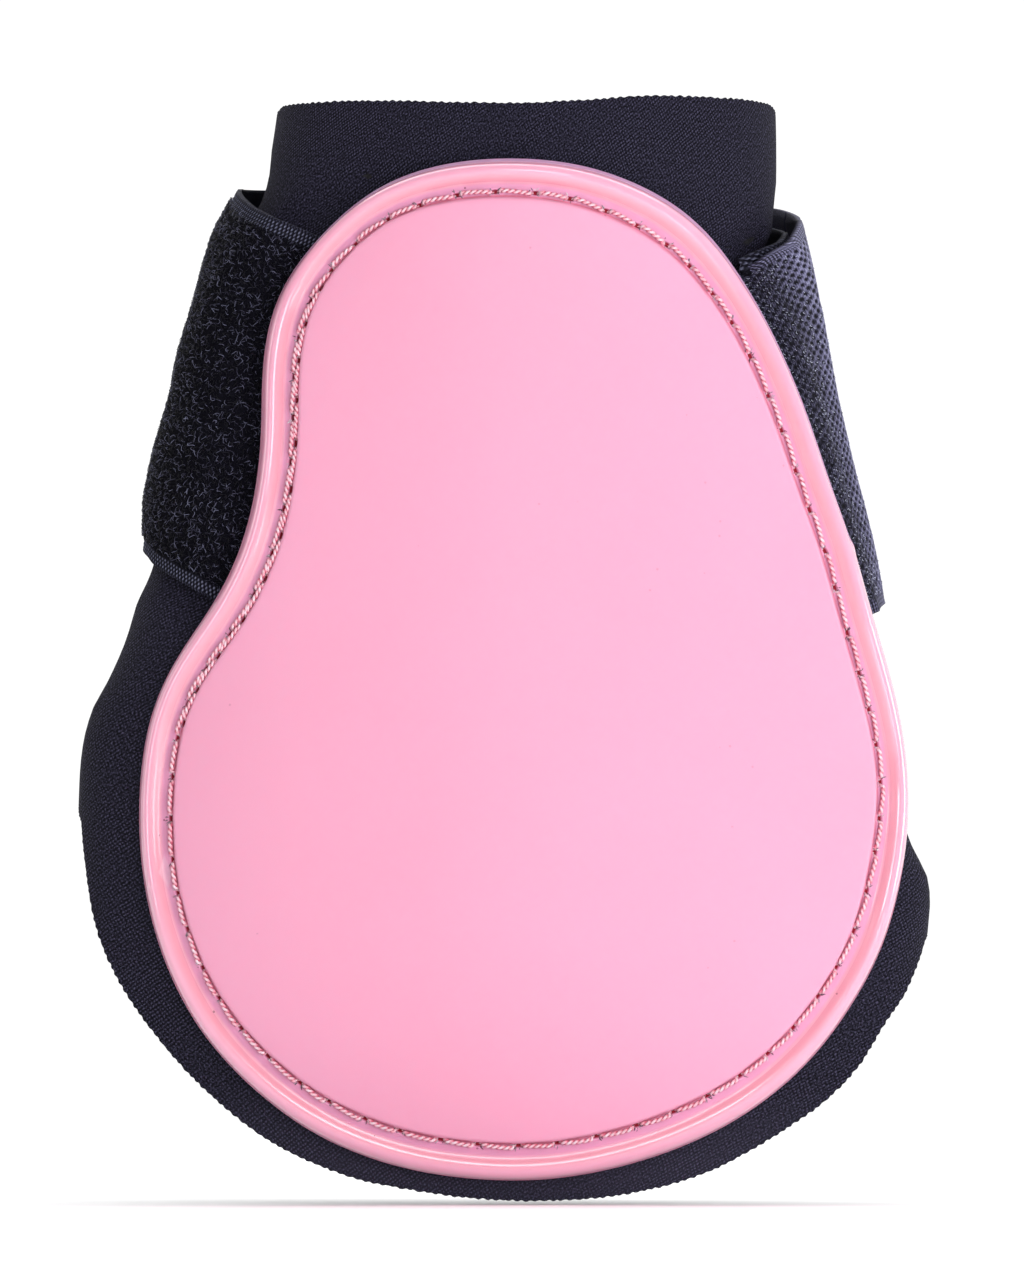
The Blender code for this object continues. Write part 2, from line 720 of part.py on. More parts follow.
# hook tape: sewn-in end, side stretch and end stretch
hook_bend = past_u(1, BEND_CLEAR)
hook_root = (spread(line_u(HOOK_ROOT_END, 0), past_u(1, 0.5 * MM), 3)
             + [past_u(1, d * MM) for d in (1.3, 2.2, 3.2, 3.8)])
strap_solid("hook_strap_root", hook_root, 5, hook_z, hook_off, "hook")
hook_side = ([past_u(1, d * MM) for d in (4.6, 6.5, 9.0)]
             + spread(past_u(1, 9.0 * MM), const_u(1.0), 2)[1:]
             + [const_u(1 + (HOOK_BEND_2 - 0.012 - 1) * k / 3) for k in (1, 2, 3)])
hook_side_obj = strap_solid("hook_strap_side", hook_side, 5, hook_z, hook_off, "hook")
hook_end = ([const_u(HOOK_BEND_2 + 0.012 + (2 - HOOK_BEND_2 - 0.012) * k / 4) for k in range(5)]
            + [const_u(-2 + (HOOK_END + 2) * k / 3) for k in (1, 2, 3)])
hook_end_obj = strap_solid("hook_strap_end", hook_end, 5, hook_z, hook_off, "hook")

# tacking threads across the sewn-in ends, under the shell
TACK_W, TACK_T = 0.5 * MM, 0.25 * MM
for name, side, line, z_of, off_of in (
        ("loop_strap_tack_thread", -1, LOOP_ROOT_END, loop_z, loop_off),
        ("hook_strap_tack_thread", 1, HOOK_ROOT_END, hook_z, hook_off)):
    near = between(line_u(line, 0), past_u(side, 0.5 * MM), 0.2)
    far = (lambda f, g: lambda z: f(z) + g * TACK_W / half_length(z))(near, side)
    strap_solid(name, [near, far], 8, z_of,
                lambda u, z, w, f=off_of: f(u, z, w) + TAPE + 0.12 * MM,
                "tack", thick=TACK_T, span=(0.06, 0.94))

# hook tape's bend lines, just outside its outer face
def bend_axis(u_of, z_of, off_of, clear):
    """A straight line along the bend that clears the tape's outer face."""
    pts, normals = [], []
    for i in range(9):
        w = i / 8
        z = z_of(u_of(gz(400)), w)
        for _ in range(12):
            u = u_of(z)
            z = z_of(u, w)
        off = off_of(u, z, w) + TAPE
        pts.append(skin(u, z, off))
        normals.append(skin(u, z, off + MM) - skin(u, z, off))
    n = sum(normals, Vector()).normalized()
    n = (n - (pts[-1] - pts[0]).normalized() * n.dot((pts[-1] - pts[0]).normalized())).normalized()
    bulge = max((p - pts[0].lerp(pts[-1], i / 8)).dot(n) for i, p in enumerate(pts))
    shift = n * (bulge + clear)
    return pts[0] + shift, pts[-1] + shift


HOOK_AXIS = bend_axis(hook_bend, hook_z, hook_off, 0.5 * MM)
HOOK_AXIS_2 = bend_axis(const_u(HOOK_BEND_2), hook_z, hook_off, 0.3 * MM)

left_hinge = hinge_empty("hinge_left_wing", *WING_AXIS_L)
right_hinge = hinge_empty("hinge_right_wing", *WING_AXIS_R)
loop_hinge = hinge_empty("hinge_loop_strap", *LOOP_AXIS)
hook_hinge = hinge_empty("hinge_hook_strap", *HOOK_AXIS)
hook_hinge_2 = hinge_empty("hinge_hook_strap_end", *HOOK_AXIS_2)

obj = bpy.data.objects
carry(left_hinge, obj["left_wing_outer_jersey"], obj["left_wing_foam_core"], obj["left_wing_inner_jersey"])
carry(right_hinge, obj["right_wing_outer_jersey"], obj["right_wing_foam_core"], obj["right_wing_inner_jersey"])
carry(loop_hinge, loop_free_obj)
carry(hook_hinge, hook_side_obj, hook_hinge_2)
carry(hook_hinge_2, hook_end_obj)
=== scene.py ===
"""Looks of the fetlock boot: glossy moulded shell, twisted lockstitches, knitted
neoprene laminate with cut edges, loop tape with its pile and woven hook tape.

Metres, +Z up the leg, the shell faces -Y, +X to the right when looking at it.
"""
import math

import bpy
import numpy as np
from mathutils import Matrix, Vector


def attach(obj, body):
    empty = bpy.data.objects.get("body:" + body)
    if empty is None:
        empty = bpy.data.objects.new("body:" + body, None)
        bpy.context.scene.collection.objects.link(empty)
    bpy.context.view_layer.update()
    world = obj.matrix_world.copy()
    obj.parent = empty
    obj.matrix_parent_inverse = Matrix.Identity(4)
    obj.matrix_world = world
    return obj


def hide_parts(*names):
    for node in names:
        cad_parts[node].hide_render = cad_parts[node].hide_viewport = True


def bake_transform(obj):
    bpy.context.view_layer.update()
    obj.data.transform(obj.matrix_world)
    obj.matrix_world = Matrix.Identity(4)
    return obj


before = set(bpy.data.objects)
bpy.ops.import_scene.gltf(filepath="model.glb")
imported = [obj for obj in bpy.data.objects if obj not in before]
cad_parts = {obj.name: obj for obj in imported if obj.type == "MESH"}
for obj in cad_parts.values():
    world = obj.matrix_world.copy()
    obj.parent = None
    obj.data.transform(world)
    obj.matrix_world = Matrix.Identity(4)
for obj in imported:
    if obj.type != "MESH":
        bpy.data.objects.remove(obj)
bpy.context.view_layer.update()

rng = np.random.default_rng(4035)

# =====================================================================
# form of the object: the same rules as the frame was made with
# =====================================================================
MM = 0.001
GRID = 0.1367 * MM
AXIS_U = 510.0
BASE_V = 1197.5
SIDE_Y = 8.0 * MM
JERSEY = 0.4 * MM
LAMINATE = 4.0 * MM
TAPE = 0.9 * MM
THREAD_R = 0.24 * MM
SHELL_LIFT = 0.6 * MM
TUCK = 1.7 * MM
UNDER_STRAP = 0.4 * MM
BACK_GAP = 8.0 * MM

SLEEVE_LEFT = [(95, 280), (150, 272), (188, 264), (240, 241), (300, 222),
               (400, 191), (500, 165), (562, 152.5), (600, 139), (640, 127),
               (681, 109), (711, 93), (745, 84), (773, 81), (820, 79.5),
               (900, 79), (1000, 84), (1100, 102), (1210, 132)]
SLEEVE_RIGHT = [(95, 775), (150, 776), (195, 776), (215, 775.5), (230, 774.5),
                (250, 766), (285, 764), (340, 779), (400, 796), (500, 822), (600, 852),
                (700, 880), (780, 895), (837, 907), (861, 919), (880, 927),
                (900, 929), (920, 927.6), (950, 925), (1000, 922), (1100, 909),
                (1210, 880)]
FRONT_DEPTH = [(95, 35), (160, 36), (250, 37.5), (400, 40.5), (600, 44.5),
               (800, 47.5), (900, 47.8), (1000, 46), (1100, 42), (1210, 35)]
BACK_DEPTH = [(95, 27), (250, 27.5), (600, 30), (800, 32), (1210, 33)]
FACE_TURN = [(95, 34), (200, 27), (350, 22), (600, 25), (800, 30), (1210, 30)]
CORNER = [(95, 17), (200, 12), (350, 10), (600, 11), (800, 10), (1210, 14)]
CUP_EDGE = [(81, 773), (82, 820), (90, 890), (103, 942), (125, 987),
            (155, 1030), (186, 1067), (225, 1104), (268, 1137), (320, 1163),
            (364, 1178), (411, 1187), (459, 1194), (500, 1197), (534, 1198),
            (586, 1196), (638, 1189), (679, 1179), (713, 1167), (755, 1145),
            (793, 1121), (827, 1096), (858, 1063), (882, 1024), (903, 993),
            (917, 962), (925, 938), (931, 900)]
SHELL_EDGE = [(500, 161), (580, 167), (650, 192), (700, 226), (740, 278),
              (775, 340), (805, 410), (830, 485), (853, 548), (868, 605),
              (885, 660), (900, 720), (908, 790), (905, 850), (893, 910),
              (872, 965), (835, 1025), (790, 1075), (735, 1115), (670, 1145),
              (600, 1165), (530, 1174), (450, 1170), (380, 1155), (310, 1125),
              (250, 1080), (200, 1025), (168, 965), (148, 900), (140, 830),
              (143, 760), (155, 705), (180, 655), (215, 605), (240, 555),
              (255, 500), (262, 440), (262, 380), (268, 330), (285, 285),
              (320, 240), (370, 195), (430, 170)]
LOOP_TOP = [(-0.33, 248), (-0.376, 243.3), (-0.416, 237.7), (-0.452, 230.3),
            (-0.486, 223.3), (-0.521, 215.8), (-0.56, 209), (-0.593, 203),
            (-0.628, 197.8), (-0.655, 194.5), (-0.70, 191.5), (-0.8, 189.5),
            (-1.0, 189), (-1.5, 189), (-2.0, 192)]
LOOP_LOW = [(-0.43, 614), (-0.479, 602), (-0.51, 591.5), (-0.553, 578.8),
            (-0.577, 572), (-0.608, 564.4), (-0.635, 556.5), (-0.68, 551),
            (-0.8, 549), (-1.0, 549), (-1.5, 560), (-2.0, 566)]
LOOP_TOP_R = [(2.0, 192), (1.5, 216), (1.2, 227.5), (1.1, 230), (1.0, 232.3),
              (0.8, 232.6), (0.7, 233), (0.656, 234.5), (0.617, 238.8),
              (0.585, 244), (0.565, 248.5), (0.542, 254.3), (0.515, 260.2),
              (0.46, 266)]
LOOP_LOW_R = [(2.0, 566), (1.5, 580), (1.15, 592), (1.0, 595), (0.9, 597),
              (0.8, 600), (0.5, 606)]
HOOK_TOP = [(0.45, 287), (0.494, 280.3), (0.521, 274), (0.535, 266.8),
            (0.547, 259), (0.563, 251.5), (0.578, 245.3), (0.597, 238),
            (0.627, 229.5), (0.655, 224), (0.72, 220.8), (1.0, 219.5),
            (1.1, 216), (1.2, 211.5), (1.3, 207), (1.5, 203), (2.0, 194)]
HOOK_LOW = [(0.5, 622), (0.70, 620), (0.718, 617), (0.730, 612.5),
            (0.766, 606), (0.80, 603), (0.86, 601.7), (1.0, 601),
            (1.2, 597), (1.5, 590), (2.0, 575)]
HOOK_TOP_L = [(-2.0, 194), (-1.5, 190)]
HOOK_LOW_L = [(-2.0, 575), (-1.5, 566)]
LOOP_OFF = [(-1.0, 2.8, 0.9), (-1.3, 2.4, 1.2), (-2.0, 1.8, 1.5)]
LOOP_OFF_R = [(2.0, 1.8, 1.5), (1.5, 2.4, 1.8), (1.2, 3.2, 2.0),
              (1.0, 3.4, 2.0), (0.88, 2.6, 1.6)]
# how far the straps stand out beyond the frame's even line, down the sides (mm)
LOOP_STAND = [(189, 0.0), (205, 0.3), (236, 0.62), (295, 0.6), (353, 0.75),
              (396, 0.35), (429, 0.6), (457, 0.8), (497, 0.75), (518, 0.4),
              (540, 0.05), (550, 0.0)]
RIGHT_STAND = [(216, 1.20), (220, 1.02), (226, 1.32), (233, 1.71),
               (240, 2.42), (247, 3.14), (255, 3.56), (264, 3.93),
               (275, 4.32), (285, 4.62), (294, 4.76), (308, 4.71),
               (322, 4.46), (334, 4.15), (346, 3.98), (360, 3.79),
               (374, 3.61), (402, 3.28), (434, 3.17), (466, 3.09),
               (496, 3.10), (527, 2.96), (548, 2.75), (570, 2.40),
               (585, 2.15), (599, 1.87)]
LOOP_TAIL_OFF = 0.7 * MM
LAYER = 0.8 * MM
LOOP_ROOT_END = ((352, 236), (283, 606))
HOOK_ROOT_END = ((700, 280), (812, 616))
HOOK_BEND_2 = 1.45
HOOK_END = -1.62
TAIL_CLEAR = 3.2 * MM
WING_LOW_L = [(-1.0, 773), (-1.15, 750), (-1.4, 690), (-1.7, 655), (-2.0, 645)]
WING_LOW_R = [(1.0, 900), (1.1, 868), (1.3, 790), (1.6, 690), (2.0, 645)]


def gx(u):
    return (u - AXIS_U) * GRID


def gz(v):
    return (BASE_V - v) * GRID


def gv(z):
    return BASE_V - z / GRID


def curve(stations):
    """Monotone cubic through (t, value) stations, for whole arrays."""
    pts = sorted(stations)
    xs = np.array([p[0] for p in pts], float)
    ys = np.array([p[1] for p in pts], float)
    h = np.diff(xs)
    d = np.diff(ys) / h
    m = np.zeros(len(xs))
    m[0], m[-1] = d[0], d[-1]
    for i in range(1, len(xs) - 1):
        if d[i - 1] * d[i] > 0:
            w1, w2 = 2 * h[i] + h[i - 1], h[i] + 2 * h[i - 1]
            m[i] = (w1 + w2) / (w1 / d[i - 1] + w2 / d[i])

    def f(t):
        t = np.clip(np.asarray(t, float), xs[0], xs[-1])
        i = np.clip(np.searchsorted(xs, t, side="left") - 1, 0, len(xs) - 2)
        s = (t - xs[i]) / h[i]
        return ((2 * s**3 - 3 * s**2 + 1) * ys[i] + (s**3 - 2 * s**2 + s) * h[i] * m[i]
                + (-2 * s**3 + 3 * s**2) * ys[i + 1] + (s**3 - s**2) * h[i] * m[i + 1])
    return f


def step(a, b, t):
    t = np.clip((t - a) / (b - a), 0.0, 1.0)
    return t * t * (3 - 2 * t)


F_LEFT, F_RIGHT = curve(SLEEVE_LEFT), curve(SLEEVE_RIGHT)
F_FRONT, F_BACK = curve(FRONT_DEPTH), curve(BACK_DEPTH)
F_TURN, F_CORNER = curve(FACE_TURN), curve(CORNER)


def eased(f, reach):
    """A form line evened out over about reach pixels: stiff parts bridge dips."""
    vs = np.arange(-100.0, 1500.0, 2.0)
    k = np.exp(-0.5 * (np.arange(-3 * reach, 3 * reach + 1, 2.0) / reach) ** 2)
    vals = np.convolve(np.pad(f(np.clip(vs, 95, 1210)), len(k) // 2, "edge"), k / k.sum(), "valid")
    return lambda v: np.interp(v, vs, vals)


S_LEFT, S_RIGHT = eased(F_LEFT, 42.0), eased(F_RIGHT, 42.0)


def section(z, stiff=False):
    v = gv(z)
    xl, xr = gx((S_LEFT if stiff else F_LEFT)(v)), gx((S_RIGHT if stiff else F_RIGHT)(v))
    a, cx = (xr - xl) / 2, (xr + xl) / 2
    depth = F_FRONT(v) * MM
    turn = np.radians(F_TURN(v))
    rc = F_CORNER(v) * MM
    r1 = (a - rc * (1 - np.sin(turn))) / np.sin(turn)
    side = np.maximum(depth - r1 * (1 - np.cos(turn)) - rc * np.cos(turn), 0.5 * MM)
    return cx, a, r1, turn, rc, r1 * turn, rc * (math.pi / 2 - turn), side, F_BACK(v) * MM


def half_length(z):
    c = section(z)
    return c[5] + c[6] + c[7]


def base(u, z):
    """Plan point of the sleeve's outer face: x and y."""
    u, z = np.broadcast_arrays(np.asarray(u, float), np.asarray(z, float))
    cx, a, r1, turn, rc, l1, lc, side, bb = section(z)
    g = np.where(u >= 0, 1.0, -1.0)
    s = np.abs(u) * (l1 + lc + side)
    t1 = s / r1
    x1 = r1 * np.sin(t1)
    d1 = r1 * (np.cos(t1) - np.cos(turn)) + rc * np.cos(turn) + side
    t2 = turn + (s - l1) / rc
    x2 = r1 * np.sin(turn) + rc * (np.sin(t2) - np.sin(turn))
    d2 = rc * np.cos(t2) + side
    d3 = side - (s - l1 - lc)
    x = np.where(s <= l1, x1, np.where(s <= l1 + lc, x2, a))
    d = np.where(s <= l1, d1, np.where(s <= l1 + lc, d2, d3))
    tb = (np.abs(u) - 1) * math.pi / 2
    back = np.abs(u) > 1
    x = np.where(back, a * np.cos(tb), x)
    y = np.where(back, SIDE_Y + bb * np.sin(tb), SIDE_Y - d)
    return cx + g * x, y


def unit(v):
    return v / np.maximum(np.linalg.norm(v, axis=-1, keepdims=True), 1e-12)


def skin_normal(u, z):
    u, z = np.broadcast_arrays(np.asarray(u, float), np.asarray(z, float))
    e, h = 0.004, 0.0008
    x1, y1 = base(u + e, z)
    x0, y0 = base(u - e, z)
    near = (np.abs(u) > 1 - e) & (np.abs(u) < 1 + e)
    g = np.where(u > 0, 1.0, -1.0)
    tx = np.where(near, 0.0, x1 - x0)
    ty = np.where(near, g, y1 - y0)
    # past the back centre the round goes on
    tu = np.stack([tx, ty, np.zeros_like(tx)], -1)
    xa, ya = base(u, z + h)
    xb, yb = base(u, z - h)
    tz = np.stack([xa - xb, ya - yb, np.full_like(xa, 2 * h)], -1)
    return unit(np.cross(tu, tz))


def skin(u, z, d=0.0):
    u, z = np.broadcast_arrays(np.asarray(u, float), np.asarray(z, float))
    x, y = base(u, z)
    d = np.broadcast_to(d, u.shape)
    return np.stack([x, y, z], -1) + skin_normal(u, z) * d[..., None]


def level_normal(u, z):
    u, z = np.broadcast_arrays(np.asarray(u, float), np.asarray(z, float))
    e = 0.004
    x1, y1 = base(u + e, z)
    x0, y0 = base(u - e, z)
    near = (np.abs(u) > 1 - e) & (np.abs(u) < 1 + e)
    tx = np.where(near, 0.0, x1 - x0)
    ty = np.where(near, np.where(u > 0, 1.0, -1.0), y1 - y0)
    return unit(np.stack([ty, -tx, np.zeros_like(tx)], -1))


def out_level(u, z, d=0.0):
    """Like skin, but going out level: straps hang straight over a waist."""
    u, z = np.broadcast_arrays(np.asarray(u, float), np.asarray(z, float))
    x, y = base(u, z)
    d = np.broadcast_to(d, u.shape)
    return np.stack([x, y, z], -1) + level_normal(u, z) * d[..., None]


def dish_at(s, z):
    cx, a, r1, turn, rc, l1, lc, side, bb = section(z, True)
    t = s / r1
    depth = r1 * (np.cos(t) - np.cos(turn)) + rc * np.cos(turn) + side
    return np.stack([cx + r1 * np.sin(t), SIDE_Y - depth, z], -1)


def dish_normal(s, z):
    e, h = 0.2 * MM, 0.8 * MM
    return unit(np.cross(dish_at(s + e, z) - dish_at(s - e, z),
                         dish_at(s, z + h) - dish_at(s, z - h)))


def dish(s, z, d=0.0):
    s, z = np.broadcast_arrays(np.asarray(s, float), np.asarray(z, float))
    d = np.broadcast_to(d, s.shape)
    return dish_at(s, z) + dish_normal(s, z) * d[..., None]


def dish_s(x, z, d):
    c = section(z, True)
    cx, r1 = c[0], c[2]
    s = r1 * np.arcsin((x - cx) / r1)
    for _ in range(6):
        s = r1 * np.arcsin((x - (dish(s, z, d) - dish(s, z))[..., 0] - cx) / r1)
    return s


def u_of_x(x, z):
    cx, a, r1, turn, rc, l1, lc, side, bb = section(z)
    g = np.where(x >= cx, 1.0, -1.0)
    w = np.minimum(np.abs(x - cx), a)
    s1 = r1 * np.arcsin(np.clip(w / r1, 0, 1))
    q = np.sin(turn) + (w - r1 * np.sin(turn)) / rc
    s2 = l1 + rc * (np.arcsin(np.clip(q, -1, 1)) - turn)
    s = np.where(w <= r1 * np.sin(turn), s1, s2)
    return g * s / (l1 + lc + side)


def u_seen(x, z, d):
    u = u_of_x(x, z)
    for _ in range(6):
        u = u_of_x(x - (skin(u, z, d)[..., 0] - base(u, z)[0]), z)
    return u


def table_of(f, n=1400):
    zs = np.linspace(-0.004, 0.156, n)
    vals = f(zs)
    return lambda z: np.interp(z, zs, vals)


def side_f(side):
    stations = ([(v, x) for x, v in SHELL_EDGE[1:13]] if side > 0
                else [(v, x) for x, v in SHELL_EDGE[30:43]])
    c = curve(stations)
    return table_of(lambda z: u_seen(gx(c(gv(z))), z, 1.5 * MM))


SHELL_SIDE = {1: side_f(1), -1: side_f(-1)}
HALF = table_of(half_length)


def past_edge(side, u, z):
    return (side * u - side * SHELL_SIDE[side](z)) * HALF(z)


def two(left, right):
    fl, fr = curve(left), curve(right)
    return lambda u: np.where(u > 0, fr(u), fl(u))


LT, LL = two(LOOP_TOP, LOOP_TOP_R), two(LOOP_LOW, LOOP_LOW_R)
HT, HL = two(HOOK_TOP_L, HOOK_TOP), two(HOOK_LOW_L, HOOK_LOW)


def loop_z(u, w):
    a, b = gz(LT(u)), gz(LL(u))
    return a + (b - a) * w


def hook_z(u, w):
    a, b = gz(HT(u)), gz(HL(u))
    return a + (b - a) * w


def table3(table):
    fa = curve([(p[0], p[1]) for p in table])
    fb = curve([(p[0], p[2]) for p in table])
    return lambda u, w: (fa(u) + (fb(u) - fa(u)) * w) * MM


OFF_L, OFF_R = table3(LOOP_OFF), table3(LOOP_OFF_R)
STAND_L, STAND_R = curve(LOOP_STAND), curve(RIGHT_STAND)


def loop_off(u, z, w):
    out_l = OFF_L(u, w) + STAND_L(gv(z)) * MM * step(-1.5, -1.05, u)
    s = np.where(u > -1, past_edge(-1, u, z), 1.0)
    low = -0.9 * MM + 1.8 * MM * step(0.9 * MM, 4.5 * MM, s)
    left = low + (out_l - low) * step(3.0 * MM, 9.0 * MM, s)
    back = OFF_R(np.maximum(u, 1.2), w)
    out_r = back + (STAND_R(gv(z)) * MM - back) * (1 - step(1.02, 1.5, u))
    s = past_edge(1, u, z)
    right = LOOP_TAIL_OFF + (out_r - LOOP_TAIL_OFF) * step(3.0 * MM, 9.0 * MM, s)
    right = np.where(u >= 1, out_r, right)
    return np.where(u < 0, left, right)


def loop_own_off(u, z, w):
    """The free end's upper edge leans in a little under the hook tape."""
    return loop_off(u, z, w) - 0.55 * MM * (1 - step(0.0, 0.10, w)) * step(0.56, 0.66, u) * (1 - step(1.3, 1.6, u))


def hook_off(u, z, w):
    over = loop_off(u, z, w) + TAPE + LAYER
    s = past_edge(1, u, z)
    near = -0.9 * MM + (over + 0.9 * MM) * step(0.9 * MM, 3.7 * MM, s)
    return np.where((u < 0) | (u >= 1), over, near)


def tuck(u, z):
    side = np.where(u > 0, 1.0, -1.0)
    s = np.where(u > 0, past_edge(1, u, z), past_edge(-1, u, z))
    front = np.abs(u) <= 1
    rise = step(-17 * MM, -11 * MM, s)
    near = np.where(front, rise * (1 - step(7 * MM, 12 * MM, s)), 0.0)
    any_strap = np.where(front, rise, 1.0)
    zt = np.maximum(loop_z(u, 0), hook_z(u, 0)) + 1.0 * MM
    zb = np.minimum(loop_z(u, 1), hook_z(u, 1)) - 1.0 * MM
    band = (1 - step(zt, zt + 5 * MM, z)) * step(zb - 5 * MM, zb, z)
    return -(UNDER_STRAP + (TUCK - UNDER_STRAP) * near) * band * any_strap


_top = curve([(-0.037, 114), (-0.0317, 113), (-0.0313, 109), (-0.0300, 106.3),
              (-0.02, 103.2), (0.0, 106), (0.01, 103), (0.02, 98.5), (0.031, 101),
              (0.0352, 105.5), (0.0360, 109), (0.0363, 114), (0.037, 114)])


def top_z(u):
    u = np.asarray(u, float)
    x = base(u, np.full_like(u, gz(110)))[0]
    return gz(_top(x) - (_top(x) - 104) * step(1.0, 1.4, np.abs(u)))


_cup_u = [float(u_of_x(np.array(gx(x)), np.array(gz(v)))) for x, v in CUP_EDGE]
_cup_u[0], _cup_u[-1] = -1.0, 1.0
_cup = curve(list(zip(_cup_u, [v for x, v in CUP_EDGE])))
_low_l, _low_r = curve(WING_LOW_L), curve(WING_LOW_R)


def low_z(u):
    u = np.asarray(u, float)
    return np.where(u < -1, gz(_low_l(u)), np.where(u > 1, gz(_low_r(u)), gz(_cup(u))))


# =====================================================================
# mesh helpers
# =====================================================================
def mesh_object(name, verts, quads=None, tris=None, mats=(), attrs=None, slots=None, sharp=None):
    """attrs: name -> per-vertex floats or 3-vectors. slots: per-face indices."""
    verts = np.asarray(verts, np.float32).reshape(-1, 3)
    quads = np.zeros((0, 4), np.int32) if quads is None else np.asarray(quads, np.int32).reshape(-1, 4)
    tris = np.zeros((0, 3), np.int32) if tris is None else np.asarray(tris, np.int32).reshape(-1, 3)
    me = bpy.data.meshes.new(name)
    me.vertices.add(len(verts))
    me.vertices.foreach_set("co", verts.ravel())
    loops = np.concatenate([quads.ravel(), tris.ravel()])
    me.loops.add(len(loops))
    me.loops.foreach_set("vertex_index", loops)
    starts = np.concatenate([np.arange(len(quads)) * 4, len(quads) * 4 + np.arange(len(tris)) * 3])
    me.polygons.add(len(starts))
    me.polygons.foreach_set("loop_start", starts.astype(np.int32))
    if slots is not None:
        me.polygons.foreach_set("material_index", np.asarray(slots, np.int32))
    me.update(calc_edges=True)
    for key, val in (attrs or {}).items():
        val = np.asarray(val, np.float32)
        if val.ndim == 1:
            me.attributes.new(key, "FLOAT", "POINT").data.foreach_set("value", val)
        else:
            me.attributes.new(key, "FLOAT_VECTOR", "POINT").data.foreach_set("vector", val.ravel())
    me.shade_smooth()
    if sharp:
        me.set_sharp_from_angle(angle=math.radians(sharp))
    for m in mats:
        me.materials.append(m)
    ob = bpy.data.objects.new(name, me)
    bpy.context.scene.collection.objects.link(ob)
    return ob


def grid_quads(rows, cols, start=0, wrap=False):
    i = np.arange(rows - 1)[:, None]
    j = np.arange(cols if wrap else cols - 1)[None, :]
    j1 = (j + 1) % cols
    q = np.stack([i * cols + j + 0 * i, i * cols + j1, (i + 1) * cols + j1, (i + 1) * cols + j], -1)
    return q.reshape(-1, 4) + start


def slab(outer, inner):
    """Closed solid between two grids of the same size. The outer grid runs
    so that rows go down and columns go to the right as seen from outside."""
    r, c = outer.shape[:2]
    n = r * c
    verts = np.concatenate([outer.reshape(-1, 3), inner.reshape(-1, 3)])
    qo = grid_quads(r, c)[:, ::-1]
    qi = grid_quads(r, c, n)
    idx = np.arange(n).reshape(r, c)
    border = np.concatenate([idx[0, :-1], idx[:-1, -1], idx[-1, :0:-1], idx[:0:-1, 0]])
    nxt = np.roll(border, -1)
    qs = np.stack([border, nxt, nxt + n, border + n], -1)
    return verts, qo, qi, qs


def thinned(count, every):
    keep = list(range(0, count - 1, every))
    if count - 1 - keep[-1] < every / 2 and len(keep) > 1:
        keep.pop()
    return np.array(keep + [count - 1])


def ring_of(rows, cols):
    """Indices round the border of a grid."""
    idx = np.arange(rows * cols).reshape(rows, cols)
    ring = np.concatenate([idx[0, :-1], idx[:-1, -1], idx[-1, :0:-1], idx[:0:-1, 0]])
    return ring


def lighter_slab(outer, inner, every):
    """Like slab, but the inner grid keeps only some rows and columns; the
    wall between is a fan of triangles at each kept point."""
    r, c = outer.shape[:2]
    kr, kc = thinned(r, every), thinned(c, every)
    small = inner[kr][:, kc]
    n = r * c
    verts = np.concatenate([outer.reshape(-1, 3), small.reshape(-1, 3)])
    qo = grid_quads(r, c)[:, ::-1]
    qi = grid_quads(len(kr), len(kc), n)
    full = ring_of(r, c)
    few = ring_of(len(kr), len(kc)) + n
    # where each kept border point sits along the full border
    top = kc[:-1]
    right = (c - 1) + kr[:-1]
    low = (c - 1) + (r - 1) + (c - 1 - kc[::-1][:-1])
    left = 2 * (c - 1) + (r - 1) + (r - 1 - kr[::-1][:-1])
    at = np.concatenate([top, right, low, left])
    tris = []
    total = len(full)
    for k in range(len(few)):
        a, b = int(at[k]), int(at[(k + 1) % len(few)])
        if b <= a:
            b += total
        p, q = few[k], few[(k + 1) % len(few)]
        half = (a + b) // 2
        for i in range(a, half):
            tris.append((full[i % total], full[(i + 1) % total], p))
        tris.append((full[half % total], q, p))
        for i in range(half, b):
            tris.append((full[i % total], full[(i + 1) % total], q))
    return verts, qo, qi, np.array(tris), kr, kc


def tubes(paths, radii, ref, k=4, caps=True):
    """Closed tubes. paths (f, s, 3), radii (f, s) or a number, ref (f, s, 3)
    or (f, 1, 3): a direction that is never along the path."""
    f, s = paths.shape[:2]
    t = unit(np.gradient(paths, axis=1))
    ref = np.broadcast_to(ref, paths.shape)
    side = unit(np.cross(t, ref))
    up = np.cross(side, t)
    radii = np.broadcast_to(radii, (f, s))
    a = 2 * math.pi * (np.arange(k) + 0.5) / k
    ring = (side[:, :, None, :] * np.cos(a)[None, None, :, None]
            + up[:, :, None, :] * np.sin(a)[None, None, :, None])
    verts = paths[:, :, None, :] + ring * radii[:, :, None, None]
    base_i = (np.arange(f) * s * k)[:, None, None]
    i = np.arange(s - 1)[None, :, None]
    j = np.arange(k)[None, None, :]
    j1 = (j + 1) % k
    q = np.stack([base_i + i * k + j, base_i + (i + 1) * k + j,
                  base_i + (i + 1) * k + j1, base_i + i * k + j1], -1).reshape(-1, 4)
    tr = np.zeros((0, 3), int)
    if caps:
        fan = np.array([[0, m, m + 1] for m in range(1, k - 1)])
        first = (np.arange(f) * s * k)[:, None, None] + fan[None]
        last = (np.arange(f) * s * k + (s - 1) * k)[:, None, None] + fan[None][:, :, ::-1]
        tr = np.concatenate([first.reshape(-1, 3), last.reshape(-1, 3)])
    return verts.reshape(-1, 3), q, tr


